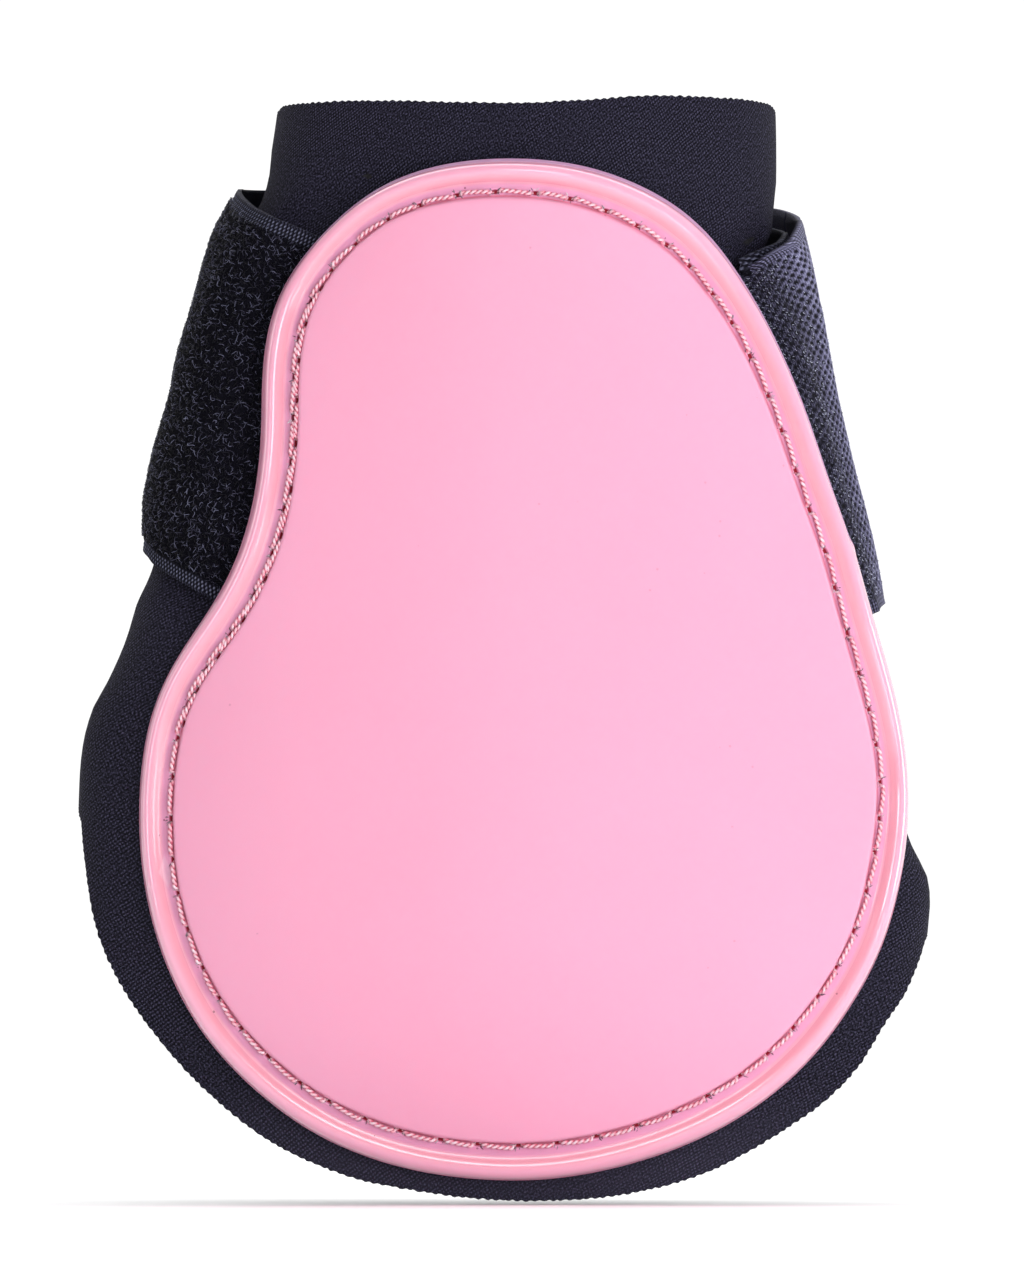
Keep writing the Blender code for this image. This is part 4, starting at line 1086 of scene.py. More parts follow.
def build_shell():
    prof = np.array(PROFILE) * MM
    l = EDGE_ACC[:-1]
    rows_in, rows_h = prof[:, 0][:, None], prof[:, 1][:, None]
    rows_in = rows_in + kink[None, :] * GRID * without_kink(rows_in)
    S = edge_s[None, :] + in_s[None, :] * rows_in
    Z = edge_z[None, :] + in_z[None, :] * rows_in
    H = np.broadcast_to(rows_h, S.shape).copy()
    shows = flash_shows(edge_px, edge_pv)
    for row, high in ROUND_BEAD.items():
        H[row] += (high * MM - H[row]) * (1 - shows)
    # the bead isn't drawn with a ruler: slow swells of a tenth of a mm
    slow = wobble(RIM_N, (3, 5, 8, 13), 5) * 0.035 * MM
    bead = np.exp(-((rows_in - 1.6 * MM) / (0.9 * MM)) ** 2)
    H += bead * slow[None, :]
    zone = (rows_in > 3.0 * MM) & (rows_in < 5.6 * MM)
    pit, lip = pits(np.broadcast_to(l[None, :], S.shape), np.broadcast_to(rows_in, S.shape))
    pit, lip = pit * zone, lip * zone
    H = H - 0.55 * MM * pit + 0.10 * MM * lip * (1 - pit)
    # faint weld line across the bead and a pale mark in the channel, lower left
    vx, vv = np.broadcast_to(edge_px[None, :], S.shape), np.broadcast_to(edge_pv[None, :], S.shape)
    across = np.exp(-((vv - 886) / 3.0) ** 2) * (vx < 300)
    mark = across * np.exp(-((rows_in - 1.5 * MM) / (0.7 * MM)) ** 2) * 0.7
    H += across * np.exp(-((rows_in - 1.6 * MM) / (0.8 * MM)) ** 2) * 0.07 * MM
    tri = (vx < 300) * np.clip(1 - np.abs((vv - 872) / 22.0), 0, 1)
    tri = step(0.0, 0.25, tri - 0.8 * np.abs(rows_in / MM - 3.75) / 0.75)
    mark = np.maximum(mark, tri)
    P = dish(S, Z, H)
    rows = len(prof)
    verts = [P.reshape(-1, 3)]
    lip_on = np.concatenate([np.tile(shows, len(prof))])
    rim = [np.repeat(prof[:, 0] / MM, RIM_N)]
    pitv, markv = [pit.ravel()], [mark.ravel()]
    quads = [grid_quads(rows, RIM_N, 0, True)]
    tris = []
    start_last = (rows - 1) * RIM_N
    count = rows * RIM_N
    # four to one, then rings towards the middle of the panel
    C = RIM_N // 4
    centre = np.array([0.0, gz(690)])
    fs, fz = S[-1, ::4], Z[-1, ::4]

    def toward(f):
        return centre[0] + (fs - centre[0]) * f, centre[1] + (fz - centre[1]) * f

    shares = [0.975, 0.94, 0.89, 0.83, 0.76, 0.68, 0.6, 0.52, 0.44, 0.36, 0.28, 0.2, 0.13, 0.07]
    first = count
    for f in shares:
        s, z = toward(f)
        verts.append(dish(s, z, 2.52 * MM))
        rim.append(np.full(C, 7.0))
        pitv.append(np.zeros(C))
        markv.append(np.zeros(C))
    rings = len(shares)
    k = np.arange(C)
    f0, c0, c1 = start_last + 4 * k, first + k, first + (k + 1) % C
    f1, f2, f3 = f0 + 1, f0 + 2, f0 + 3
    f4 = start_last + (4 * k + 4) % RIM_N
    for a, b, c in ((f0, f1, c0), (f1, f2, c0), (f2, c1, c0), (f2, f3, c1), (f3, f4, c1)):
        tris.append(np.stack([a, b, c], -1))
    quads.append(grid_quads(rings, C, first, True))
    count += rings * C
    verts.append(dish(np.array([0.0]), np.array([gz(690)]), 2.52 * MM))
    rim.append([7.0]); pitv.append([0.0]); markv.append([0.0])
    tip = count
    last = first + (rings - 1) * C
    tris.append(np.stack([last + k, last + (k + 1) % C, np.full(C, tip)], -1))
    count += 1
    # the face towards the sleeve
    low_first = count
    low_in = [(0.25, 0.60), (2.7, 0.60), (6.6, 0.60)]
    for w, h in low_in:
        s = edge_s[::4] + in_s[::4] * w * MM
        z = edge_z[::4] + in_z[::4] * w * MM
        verts.append(dish(s, z, h * MM))
        rim.append(np.full(C, w)); pitv.append(np.zeros(C)); markv.append(np.zeros(C))
    for f in (0.8, 0.55, 0.3, 0.1):
        s, z = toward(f)
        verts.append(dish(s, z, 0.60 * MM))
        rim.append(np.full(C, 7.0)); pitv.append(np.zeros(C)); markv.append(np.zeros(C))
    lows = len(low_in) + 4
    quads.append(grid_quads(lows, C, low_first, True)[:, ::-1])
    count += lows * C
    verts.append(dish(np.array([0.0]), np.array([gz(690)]), 0.60 * MM))
    rim.append([7.0]); pitv.append([0.0]); markv.append([0.0])
    last = low_first + (lows - 1) * C
    tris.append(np.stack([last + (k + 1) % C, last + k, np.full(C, count)], -1))
    e0, e1, e2, e3, e4 = 4 * k, 4 * k + 1, 4 * k + 2, 4 * k + 3, (4 * k + 4) % RIM_N
    g0, g1 = low_first + k, low_first + (k + 1) % C
    for a, b, c in ((e1, e0, g0), (e2, e1, g0), (e2, g0, g1), (e3, e2, g1), (e4, e3, g1)):
        tris.append(np.stack([a, b, c], -1))
    quads, tris, rims = np.concatenate(quads), np.concatenate(tris), np.concatenate(rim)
    mid_q, mid_t = rims[quads].mean(1), rims[tris].mean(1)
    slots = np.concatenate([(mid_q < 3.5) & (mid_q > 0.46), (mid_t < 3.5) & (mid_t > 0.46)]).astype(int)
    ob = mesh_object("strike_shell", np.concatenate(verts), quads, tris,
                     [MAT_SHELL, MAT_BEAD], {"rim": np.concatenate(rim), "pit": np.concatenate(pitv),
                                   "mark": np.concatenate(markv),
                                   "lip": np.concatenate([lip_on, np.zeros(count + 1 - len(lip_on))])}, slots)
    return ob


def check_out(ob, point):
    """Turn the mesh inside out if its faces look the wrong way."""
    me = ob.data
    n = len(me.polygons)
    co, no, ar = np.zeros(n * 3), np.zeros(n * 3), np.zeros(n)
    me.polygons.foreach_get("center", co)
    me.polygons.foreach_get("normal", no)
    me.polygons.foreach_get("area", ar)
    co, no = co.reshape(-1, 3) - np.array(point), no.reshape(-1, 3)
    if (np.einsum("ij,ij->i", co, no) * ar).sum() < 0:
        me.flip_normals()
    return ob


shell = build_shell()
check_out(shell, (0, -0.03, 0.07))
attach(shell, "front")
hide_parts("shell")


# =====================================================================
# the seam
# =====================================================================
def lay_stitches(name, frames, r_ply, r_twist, pitch, plies=2, k=6, mats=(), ends=0.9 * MM, seed=1):
    """frames(i, t) gives centre points (s, 3), surface normals, for stitch i."""
    pile = Pile()
    r = np.random.default_rng(seed)
    for centre, normal, length in frames:
        n = len(centre)
        t = unit(np.gradient(centre, axis=0))
        side = unit(np.cross(t, normal))
        up = np.cross(side, t)
        along = np.concatenate([[0], np.cumsum(np.linalg.norm(np.diff(centre, axis=0), axis=1))])
        ph = r.random() * 6.28
        for p in range(plies):
            a = 2 * math.pi * along / pitch + ph + 2 * math.pi * p / plies
            path = centre + (side * np.cos(a)[:, None] + up * np.sin(a)[:, None] * 0.85) * r_twist
            v, q, tr = tubes(path[None], r_ply, up[None] + 0.3 * t[None], k)
            # painted light and shade: each ply is pale where it turns up and red where it turns under
            high = np.repeat((np.sin(a) * 0.5 + 0.5), k)
            pile.add(v, q, tr, np.clip(0.75 - 0.75 * high + 0.15 * r.random(), 0, 1))
    return pile.done(name, mats)


def stitch_frames(starts, stops, ins0, ins1, seed, outside=True):
    r = np.random.default_rng(seed)
    for a, b, i0, i1 in zip(starts, stops, ins0, ins1):
        n = 46
        t = np.linspace(0, 1, n)
        span = (b - a) % EDGE_LEN
        lift = (THREAD_R + 0.06 * MM + (0.10 + 0.08 * r.random()) * MM * np.sin(math.pi * t) ** 0.7)
        down = 1 - step(0.0, 0.13, t) * (1 - step(0.87, 1.0, t))
        h = lift - down * 1.1 * MM
        lean = (0.10 + 0.07 * r.random()) * MM
        ins = i0 + (i1 - i0) * t + lean * (t - 0.5) * 2 * (1 - down) + 0.05 * MM * np.sin(3 * t + 6 * r.random())
        l = a + span * (0.06 + 0.88 * t)
        yield on_rim(l, ins, 1.8 * MM + h), rim_frame(l, ins)[2], span


nxt_l = np.roll(hole_l, -1)
needle = lay_stitches("needle_stitches",
                      stitch_frames(hole_l, nxt_l, first_inset(hole_l), first_inset(nxt_l), 3),
                      0.19 * MM, 0.17 * MM, 1.6 * MM, mats=[MAT_THREAD], seed=11)
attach(needle, "front")
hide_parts("shell_needle_thread")
if len(hole2_l) > 1:
    needle2 = lay_stitches("needle_lock_stitches",
                           stitch_frames(hole2_l[:-1], hole2_l[1:], second_inset(hole2_l[:-1]),
                                         second_inset(hole2_l[1:]), 4),
                           0.18 * MM, 0.16 * MM, 1.5 * MM, mats=[MAT_THREAD], seed=12)
    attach(needle2, "front")


def build_burrs():
    """Plastic raised by the needle: ragged little tongues round each hole,
    thickest at its four corners."""
    r = np.random.default_rng(9)
    paths, refs, rad, shade = [], [], [], []
    for hl, hi in zip(all_holes, hole_in):
        p, t, n, b = (x[0] for x in rim_frame(np.array([hl]), np.array([hi])))
        tone = r.normal(0, 0.12)
        for q in range(int(r.integers(9, 13))):
            a = (q % 4) * math.pi / 2 + math.pi / 4 + r.normal() * 0.30
            along, over = math.cos(a) * r.uniform(0.50, 0.84), math.sin(a) * r.uniform(0.22, 0.46)
            o = p + n * 1.76 * MM + (t * along + b * over) * MM
            out = unit(t * math.cos(a) * 0.7 + b * math.sin(a) + n * r.uniform(0.15, 0.8))
            ln = r.uniform(0.22, 0.62) * MM
            f = np.linspace(0, 1, 4)[:, None]
            bend = (n * r.uniform(-0.6, 0.2) + t * r.uniform(-0.5, 0.5)) * ln
            paths.append(o + out * ln * f + bend * f * f)
            refs.append(np.broadcast_to(unit(b + 0.2 * n + 0.1 * t), (4, 3)))
            rad.append(np.array([0.10, 0.095, 0.07, 0.02]) * MM * r.uniform(0.7, 1.25))
            shade.append(np.clip(r.random() + tone, 0, 1))
    v, q, tr = tubes(np.array(paths), np.array(rad), np.array(refs), 4)
    ob = mesh_object("needle_burrs", v, q, tr, [MAT_BURR], {"shade": np.repeat(shade, 16)}, sharp=50)
    return ob


burrs = build_burrs()
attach(burrs, "front")


def bobbin_frames():
    r = np.random.default_rng(21)
    ins = stitch_inset(hole_l)
    for i in range(STITCHES):
        a, b = hole_l[i], nxt_l[i]
        span = (b - a) % EDGE_LEN
        t = np.linspace(0, 1, 40)
        l = a + span * (0.03 + 0.94 * t)
        p = on_rim(l, ins[i] + (ins[(i + 1) % STITCHES] - ins[i]) * t, 0.0)
        u = u_of_x(p[:, 0], p[:, 2])
        down = 1 - step(0.0, 0.12, t) * (1 - step(0.88, 1.0, t))
        d = -(LAMINATE + THREAD_R * 0.9 + 0.05 * MM * np.sin(math.pi * t)) + down * 0.9 * MM
        c = skin(u, p[:, 2], d)
        yield c, -skin_normal(u, p[:, 2]), span


bobbin = lay_stitches("bobbin_stitches", bobbin_frames(), 0.15 * MM, 0.13 * MM, 1.2 * MM,
                      mats=[MAT_THREAD], seed=22, k=5)
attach(bobbin, "front")
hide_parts("shell_bobbin_thread")

# =====================================================================
# the sleeve: jersey, foam and lining, each half in one run round its side
# =====================================================================
BACK_U = 2 - 0.5 * BACK_GAP / (38 * MM) * 2 / math.pi


def sleeve_columns(side, step_mm):
    """Values of u from the front centre to the back edge, spaced evenly
    along whichever is longer: the girth or the cut edge below."""
    uu = np.linspace(0, side * BACK_U, 6001)
    mid = np.stack(base(uu, np.full_like(uu, 0.08)), -1)
    lo = np.stack([*base(uu, low_z(uu)), low_z(uu)], -1)
    a = np.linalg.norm(np.diff(mid, axis=0), axis=1)
    b = np.linalg.norm(np.diff(lo, axis=0), axis=1)
    acc = np.concatenate([[0], np.cumsum(np.maximum(a, b))])
    n = int(acc[-1] / (step_mm * MM))
    return np.interp(np.linspace(0, acc[-1], n + 1), acc, uu)


def girth(us, z):
    """Arc length round the sleeve from the front centre, per column."""
    x, y = base(us, np.full_like(us, z))
    return np.concatenate([[0], np.cumsum(np.hypot(np.diff(x), np.diff(y)))])


def sleeve_uz(us, rows, trim=0.0):
    """Rows close together at the cut edges, wider apart between them."""
    zt, zb = top_z(us) - trim, low_z(us) + trim
    near = np.array([0.0, 0.12, 0.3, 0.6, 1.0]) * MM
    mid = np.linspace(0, 1, rows)
    z = [zt - q for q in near]
    a, b = zt - 1.6 * MM, zb + 1.6 * MM
    z += [a + (b - a) * f for f in mid]
    z += [zb + q for q in near[::-1]]
    return np.array(z)


def layer_piece(name, side, us, rows, d_out, d_in, mat, press_out, press_in, trim=0.0, round_off=0.1 * MM):
    Z = sleeve_uz(us, rows, trim)
    U = np.broadcast_to(us, Z.shape)
    n_r = Z.shape[0]
    soft = np.zeros(n_r)
    soft[0] = soft[-1] = round_off
    soft[1] = soft[-2] = round_off * 0.35
    press = tuck(U, Z)
    do = d_out - soft[:, None] + (press if press_out else 0)
    di = d_in + soft[:, None] + (press if press_in else 0)
    ramp = np.zeros(len(us))
    ramp[-1], ramp[-2] = round_off, round_off * 0.3
    outer = skin(U, Z, do - ramp[None, :])
    inner = skin(U, Z, di + ramp[None, :])
    if side < 0:
        outer, inner = outer[:, ::-1], inner[:, ::-1]
    verts, qo, qi, qs = slab(outer, inner)
    arc = girth(us, 0.08) / MM
    flat = np.stack([np.broadcast_to(arc * side, Z.shape), Z / MM, np.zeros_like(Z)], -1)
    if side < 0:
        flat = flat[:, ::-1]
    flat = flat.reshape(-1, 3)
    ob = mesh_object(name, verts, np.concatenate([qo, qi, qs]), None, [mat],
                     {"flat": np.concatenate([flat, flat])}, sharp=60)
    return ob


def bend_wing(ob, side):
    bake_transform(ob)


for side, label in ((-1, "left"), (1, "right")):
    us = sleeve_columns(side, 0.62)
    wing = label + "_wing"
    ob = layer_piece("sleeve_%s_jersey" % label, side, us, 52, 0.0, -JERSEY, MAT_JERSEY, True, True)
    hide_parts("front_outer_jersey", wing + "_outer_jersey")
    bend_wing(ob, side)
    us2 = us[::2] if (len(us) - 1) % 2 == 0 else np.append(us[:-1:2], us[-1])
    ob = layer_piece("sleeve_%s_foam" % label, side, us2, 40, -JERSEY - 0.01 * MM, -(LAMINATE - JERSEY) + 0.01 * MM,
                     MAT_FOAM, True, False, trim=0.06 * MM, round_off=0.0)
    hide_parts("front_foam_core", wing + "_foam_core")
    bend_wing(ob, side)
    ob = layer_piece("sleeve_%s_lining" % label, side, us2, 52, -(LAMINATE - JERSEY), -LAMINATE, MAT_JERSEY,
                     False, False)
    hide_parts("front_inner_jersey", wing + "_inner_jersey")
    bend_wing(ob, side)


def cut_edge(name, side, u, z, depth, press, seed, radius=0.17 * MM):
    """Raw edge of the knit: a nubbly line of cut stitches along the edge."""
    p = skin(u, z, depth + (tuck(u, z) if press else 0))
    acc = np.concatenate([[0], np.cumsum(np.linalg.norm(np.diff(p, axis=0), axis=1))])
    n = int(acc[-1] / (0.22 * MM))
    w = np.linspace(0, acc[-1], n + 1)
    uu, zz = np.interp(w, acc, u), np.interp(w, acc, z)
    r = np.random.default_rng(seed)
    bump = 0.5 + 0.5 * np.sin(2 * math.pi * w / (1.17 * MM) + 2.5 * np.cumsum(r.normal(size=n + 1)) * 0.12)
    rough = np.convolve(r.normal(size=n + 1), [0.25, 0.5, 0.25], "same")
    rad = radius * (0.72 + 0.5 * bump + 0.16 * rough)
    d = depth + (tuck(uu, zz) if press else 0)
    c = skin(uu, zz, d)
    nrm = skin_normal(uu, zz)
    t = unit(np.gradient(c, axis=0))
    out = unit(np.cross(t, nrm))
    way = np.sign((out[:, 2]).mean()) * (1 if z[0] > 0.1 else -1)
    c = c + out * way * ((0.10 * bump ** 1.5 + 0.02 * rough) * MM)[:, None]
    v, q, tr = tubes(c[None], rad[None], nrm[None], 6)
    flat = np.stack([np.repeat(w / MM, 6), np.tile(np.arange(6) * 0.2, n + 1), np.zeros(6 * (n + 1))], -1)
    ob = mesh_object(name, v, q, tr, [MAT_JERSEY], {"flat": flat})
    bend_wing(ob, side)
    return ob


for side, label in ((-1, "left"), (1, "right")):
    uu = np.linspace(0, side * BACK_U, 1500)
    cut_edge("cuff_cut_%s" % label, side, uu, top_z(uu) - 0.06 * MM, -0.20 * MM, True, 31 + side)
    us = sleeve_columns(side, 0.2)
    cut_edge("cup_cut_%s" % label, side, us, low_z(us) + 0.06 * MM, -0.20 * MM, True, 35 + side)
    cut_edge("cuff_lining_cut_%s" % label, side, uu, top_z(uu) - 0.06 * MM, -LAMINATE + 0.2 * MM, False, 41 + side)
    cut_edge("cup_lining_cut_%s" % label, side, us, low_z(us) + 0.06 * MM, -LAMINATE + 0.2 * MM, False, 45 + side)


# =====================================================================
# the straps
# =====================================================================
def const_u(u):
    return lambda z: np.full_like(z, u)


def past_u(side, dist):
    return lambda z: SHELL_SIDE[side](z) + side * dist / HALF(z)


def tail_end(z):
    dist = TAIL_CLEAR - 1.9 * MM * step(gz(275), gz(266), z)
    return SHELL_SIDE[1](z) + dist / HALF(z)


def line_u(line):
    (x0, v0), (x1, v1) = line

    def f(z):
        t = (gv(z) - v0) / (v1 - v0)
        return u_seen(gx(x0 + (x1 - x0) * t), z, 0.0)
    return table_of(f)


def runs(*keys):
    return list(zip(keys[:-1], keys[1:]))


LOOP_SEGS = (runs(line_u(LOOP_ROOT_END), past_u(-1, 0.3 * MM), past_u(-1, 2.4 * MM), past_u(-1, 5 * MM),
                  past_u(-1, 9.0 * MM), const_u(-1.0), const_u(-1.25), const_u(-1.5), const_u(-1.75), const_u(-2.0))
             + runs(const_u(2.0), const_u(1.75), const_u(1.5), const_u(1.25), const_u(1.0), past_u(1, 9.0 * MM),
                    past_u(1, 6.5 * MM), past_u(1, 4.6 * MM), tail_end))
HOOK_SEGS = (runs(line_u(HOOK_ROOT_END), past_u(1, 0.5 * MM), past_u(1, 1.3 * MM), past_u(1, 2.2 * MM),
                  past_u(1, 3.8 * MM), past_u(1, 6.5 * MM), past_u(1, 9.0 * MM), const_u(1.0), const_u(1.22),
                  const_u(1.45), const_u(1.72), const_u(2.0))
             + runs(const_u(-2.0), const_u(-1.8), const_u(HOOK_END)))


def strap_uz(segs, params, ws, z_of):
    """(u, z) on the tape for run parameters and shares across its width."""
    U = np.zeros((len(params), len(ws)))
    Z = np.zeros_like(U)
    seg = np.minimum(params.astype(int), len(segs) - 1)
    for k in np.unique(seg):
        pick = np.where(seg == k)[0]
        f, g = segs[k]
        t = (params[pick] - k)[:, None]
        W = np.broadcast_to(np.asarray(ws, float)[None, :], (len(pick), len(ws)))
        z = np.full(W.shape, gz(400))
        for _ in range(14):
            u = f(z) * (1 - t) + g(z) * t
            z = z_of(u, W)
        U[pick], Z[pick] = u, z
    return U, Z


def strap_lengths(segs, z_of, off_of):
    """Fine run parameters and the length along the tape at each."""
    params = []
    for k in range(len(segs)):
        params += list(k + np.linspace(0, 1, 60, endpoint=False))
    params.append(len(segs) - 1e-6)
    params = np.array(params)
    U, Z = strap_uz(segs, params, [0.5], z_of)
    w = np.full_like(U, 0.5)
    P = out_level(U, Z, off_of(U, Z, w))[:, 0]
    acc = np.concatenate([[0], np.cumsum(np.linalg.norm(np.diff(P, axis=0), axis=1))])
    return params, acc


class Strap:
    def __init__(self, segs, z_of, off_of, seed):
        self.segs, self.z_of, self.off_of = segs, z_of, off_of
        self.params, self.acc = strap_lengths(segs, z_of, off_of)
        self.length = self.acc[-1]
        self.seed = seed

    def param(self, l):
        return np.interp(l, self.acc, self.params)

    def length_at(self, p):
        return float(np.interp(p, self.params, self.acc))

    def grid(self, ls, ws):
        U, Z = strap_uz(self.segs, self.param(np.asarray(ls)), np.asarray(ws), self.z_of)
        W = np.broadcast_to(np.asarray(ws)[None, :], U.shape)
        return U, Z, W, self.off_of(U, Z, W)

    def points(self, l, w, extra):
        """Scattered points: position, outward normal, along, across."""
        P = self.scatter(l, w, extra)
        Pa = self.scatter(l + 0.15 * MM, w, extra)
        Pb = self.scatter(l, np.clip(w + 0.003, 0, 1), extra)
        Pc = self.scatter(l, np.clip(w - 0.003, 0, 1), extra)
        t = unit(Pa - P)
        b = unit(Pb - Pc)
        n = unit(np.cross(t, b))
        return P, n, t, b

    def prepare(self, step_mm=0.8, rows=65):
        """A lattice of the tape's inner face, read by bilinear blending."""
        n = int(self.length / (step_mm * MM))
        self.gl = np.linspace(0, self.length, n)
        self.gw = np.linspace(0, 1, rows)
        U, Z, W, O = self.grid(self.gl, self.gw)
        self.gp = out_level(U, Z, O)
        self.gn = level_normal(U, Z)

    def scatter(self, l, w, extra):
        fi = np.clip(l / self.length, 0, 0.999999) * (len(self.gl) - 1)
        fj = np.clip(w, 0, 0.999999) * (len(self.gw) - 1)
        i, j = fi.astype(int), fj.astype(int)
        a, b = (fi - i)[:, None], (fj - j)[:, None]

        def mixed(g):
            return ((g[i, j] * (1 - a) + g[i + 1, j] * a) * (1 - b)
                    + (g[i, j + 1] * (1 - a) + g[i + 1, j + 1] * a) * b)
        p, n = mixed(self.gp), unit(mixed(self.gn))
        return p + n * np.asarray(extra).reshape(-1, 1)


LOOP = Strap(LOOP_SEGS, loop_z, loop_own_off, 51)
HOOK = Strap(HOOK_SEGS, hook_z, hook_off, 52)
LOOP.prepare()
HOOK.prepare()
WIDTH = 50.0   # mm across both tapes


def spaced(*spans):
    """Values from spans of (start, end, spacing in mm)."""
    out = [spans[0][0]]
    for a, b, gap in spans:
        n = max(1, int(round((b - a) / (gap * MM))))
        out += list(a + (b - a) * np.arange(1, n + 1) / n)
    return np.array(out)


def tape_piece(name, strap, ls, ws, relief, mat, thick_out, thick_in=0.0, plain_in=1.0):
    """One stretch of tape as a closed solid. relief(l, m) in mm gives the
    height of the outer face, the mask of the woven edge and a 0..1 relief."""
    U, Z, W, O = strap.grid(ls, ws)
    lm = np.broadcast_to((ls / MM)[:, None], U.shape)
    wm = W * WIDTH
    h, sel, rel = relief(lm, wm)
    edge = np.minimum(wm, WIDTH - wm)
    h = h * np.clip(edge / 0.25, 0.0, 1.0)
    outer = out_level(U, Z, O + thick_out + h * MM)
    inner = out_level(U, Z, O + thick_in)
    outer, inner = np.swapaxes(outer, 0, 1), np.swapaxes(inner, 0, 1)
    # rows now run down the tape; columns follow the length
    verts, qo, qi, wall, kr, kc = lighter_slab(outer, inner, 3)
    flat = np.stack([lm, wm, np.zeros_like(lm)], -1).swapaxes(0, 1)
    inner_flat = flat[kr][:, kc].reshape(-1, 3)
    flat = flat.reshape(-1, 3)
    inner_flat[:, 2] = 5.0
    sel, rel = sel.T.ravel(), rel.T.ravel()
    few = len(inner_flat)
    ob = mesh_object(name, verts, np.concatenate([qo, qi]), wall, [mat],
                     {"flat": np.concatenate([flat, inner_flat]), "sel": np.concatenate([sel, np.full(few, plain_in)]),
                      "relief": np.concatenate([rel, np.full(few, 0.55 if plain_in else 0.36)])})
    return ob


def loop_relief(l, m):
    edge = np.minimum(m, WIDTH - m)
    sel = 1 - step(1.45, 1.95, edge + 0.3 * (hashed(np.floor(l / 0.7), np.floor(m / 0.7), 3) - 0.5))
    # woven edge: a net of small floats, and the twisted cord of the rim
    a = 0.5 + 0.5 * np.cos(2 * math.pi * (l / 1.5 + m / 2.0))
    b = 0.5 + 0.5 * np.cos(2 * math.pi * (l / 1.5 - m / 2.0))
    weave = np.clip(1.35 * (np.maximum(a, 1 - a) * np.maximum(b, 1 - b)) ** 2.2 - 0.12, 0, 1)
    cord = np.exp(-((edge - 0.16) / 0.15) ** 2)
    weave = np.clip(weave * (1 - cord) + cord * (0.42 + 0.30 * np.sin(2 * math.pi * (l / 0.62 + m / 0.5))), 0, 1)
    h_sel = -0.10 + 0.17 * weave + 0.06 * cord
    lump = np.sin(l * 2.1 + 1.3 * np.sin(m * 1.7)) * np.sin(m * 2.6 + 1.1 * np.sin(l * 1.3))
    fine = hashed(np.floor(l / 0.33), np.floor(m / 0.33), 8)
    h_pile = 0.02 + 0.02 * lump + 0.14 * fine
    return h_pile * (1 - sel) + h_sel * sel, sel, weave


PIT_L, PIT_M = 1.34, 1.31
HOOK_DARK = HOOK.length_at(1.0)


def hook_relief(l, m):
    """Staggered pits in a netted ground; plain ribbed edges."""
    edge = np.minimum(m, WIDTH - m)

    def pit(shift):
        i, j = np.round(l / PIT_L - shift), np.round(m / PIT_M - shift)
        dl = l - (i + shift) * PIT_L - 0.13 * (hashed(i, j, 1 + shift) - 0.5)
        dm = m - (j + shift) * PIT_M - 0.13 * (hashed(i, j, 2 + shift) - 0.5)
        size = 0.86 + 0.3 * hashed(i, j, 5 + shift)
        r = (np.abs(dl) / (0.39 * size)) ** 1.8 + (np.abs(dm) / (0.34 * size)) ** 1.8
        return np.exp(-r)
    p = np.maximum(pit(0.0), pit(0.5))
    band = step(1.3, 1.9, edge)
    plain = 0.62
    rel = np.clip(0.92 - 1.05 * p, 0, 1)
    dark = 1 - step(HOOK_DARK / MM + 3.5, HOOK_DARK / MM + 10.5, l)
    rel = rel * (1 - 0.5 * dark)
    rel = plain * (1 - band) * (1 - 0.25 * dark) + rel * band
    h = (0.06 - 0.34 * p) * band
    return h, 1 - band, rel


# lengths along the tapes where bodies meet, from the joints' own lines
def strap_split(strap, u):
    """Length along a tape at which it passes u at mid width."""
    U, Z = strap_uz(strap.segs, strap.params, [0.5], strap.z_of)
    k = int(np.argmin(np.abs(U[:, 0] - u)))
    return strap.acc[k]


L_LOOP_BEND = strap_split(LOOP, -1.0)
L_LOOP_CUT = strap_split(LOOP, -1.55)
L_HOOK_BEND = LOOP.length * 0 + HOOK.length_at(4 + 0.15)
L_HOOK_MID = strap_split(HOOK, 1.2)
L_HOOK_BEND2 = strap_split(HOOK, HOOK_BEND_2)
LOOP_FACE = 0.62 * MM     # ground of the loop tape; its pile stands on it

edge_w = 2.1 / WIDTH
WS_FINE = spaced((0, edge_w, 0.13 / WIDTH / MM), (edge_w, 1 - edge_w, 0.36 / WIDTH / MM),
                 (1 - edge_w, 1, 0.13 / WIDTH / MM))
WS_ROUGH = spaced((0, edge_w, 0.26 / WIDTH / MM), (edge_w, 1 - edge_w, 0.55 / WIDTH / MM),
                  (1 - edge_w, 1, 0.26 / WIDTH / MM))
WS_PITS = spaced((0, 1, 0.19 / WIDTH / MM))
L_SEEN = LOOP.length_at(1.0) - 2.5 * MM
loop_ls = spaced((0.0, L_SEEN, 0.6), (L_SEEN, L_LOOP_BEND + 3 * MM, 0.17), (L_LOOP_BEND + 3 * MM, L_LOOP_CUT, 0.5))
loop_a = tape_piece("loop_tape_side", LOOP, loop_ls, WS_FINE, loop_relief, MAT_LOOP, LOOP_FACE)
tail = LOOP.length - 12 * MM
loop_b = tape_piece("loop_tape_back", LOOP, spaced((L_LOOP_CUT, tail, 0.5), (tail, LOOP.length - 1e-6, 0.2)), WS_ROUGH,
                    loop_relief, MAT_LOOP, LOOP_FACE)
H_SEEN = HOOK.length_at(1.0) - 1.0 * MM
hook_ls = spaced((0.0, H_SEEN, 0.7), (H_SEEN, H_SEEN + 24 * MM, 0.19), (H_SEEN + 24 * MM, L_HOOK_MID, 0.3))
hook_a = tape_piece("hook_tape_side", HOOK, hook_ls, WS_PITS, hook_relief, MAT_HOOK, 0.82 * MM, 0.12 * MM, 0.0)
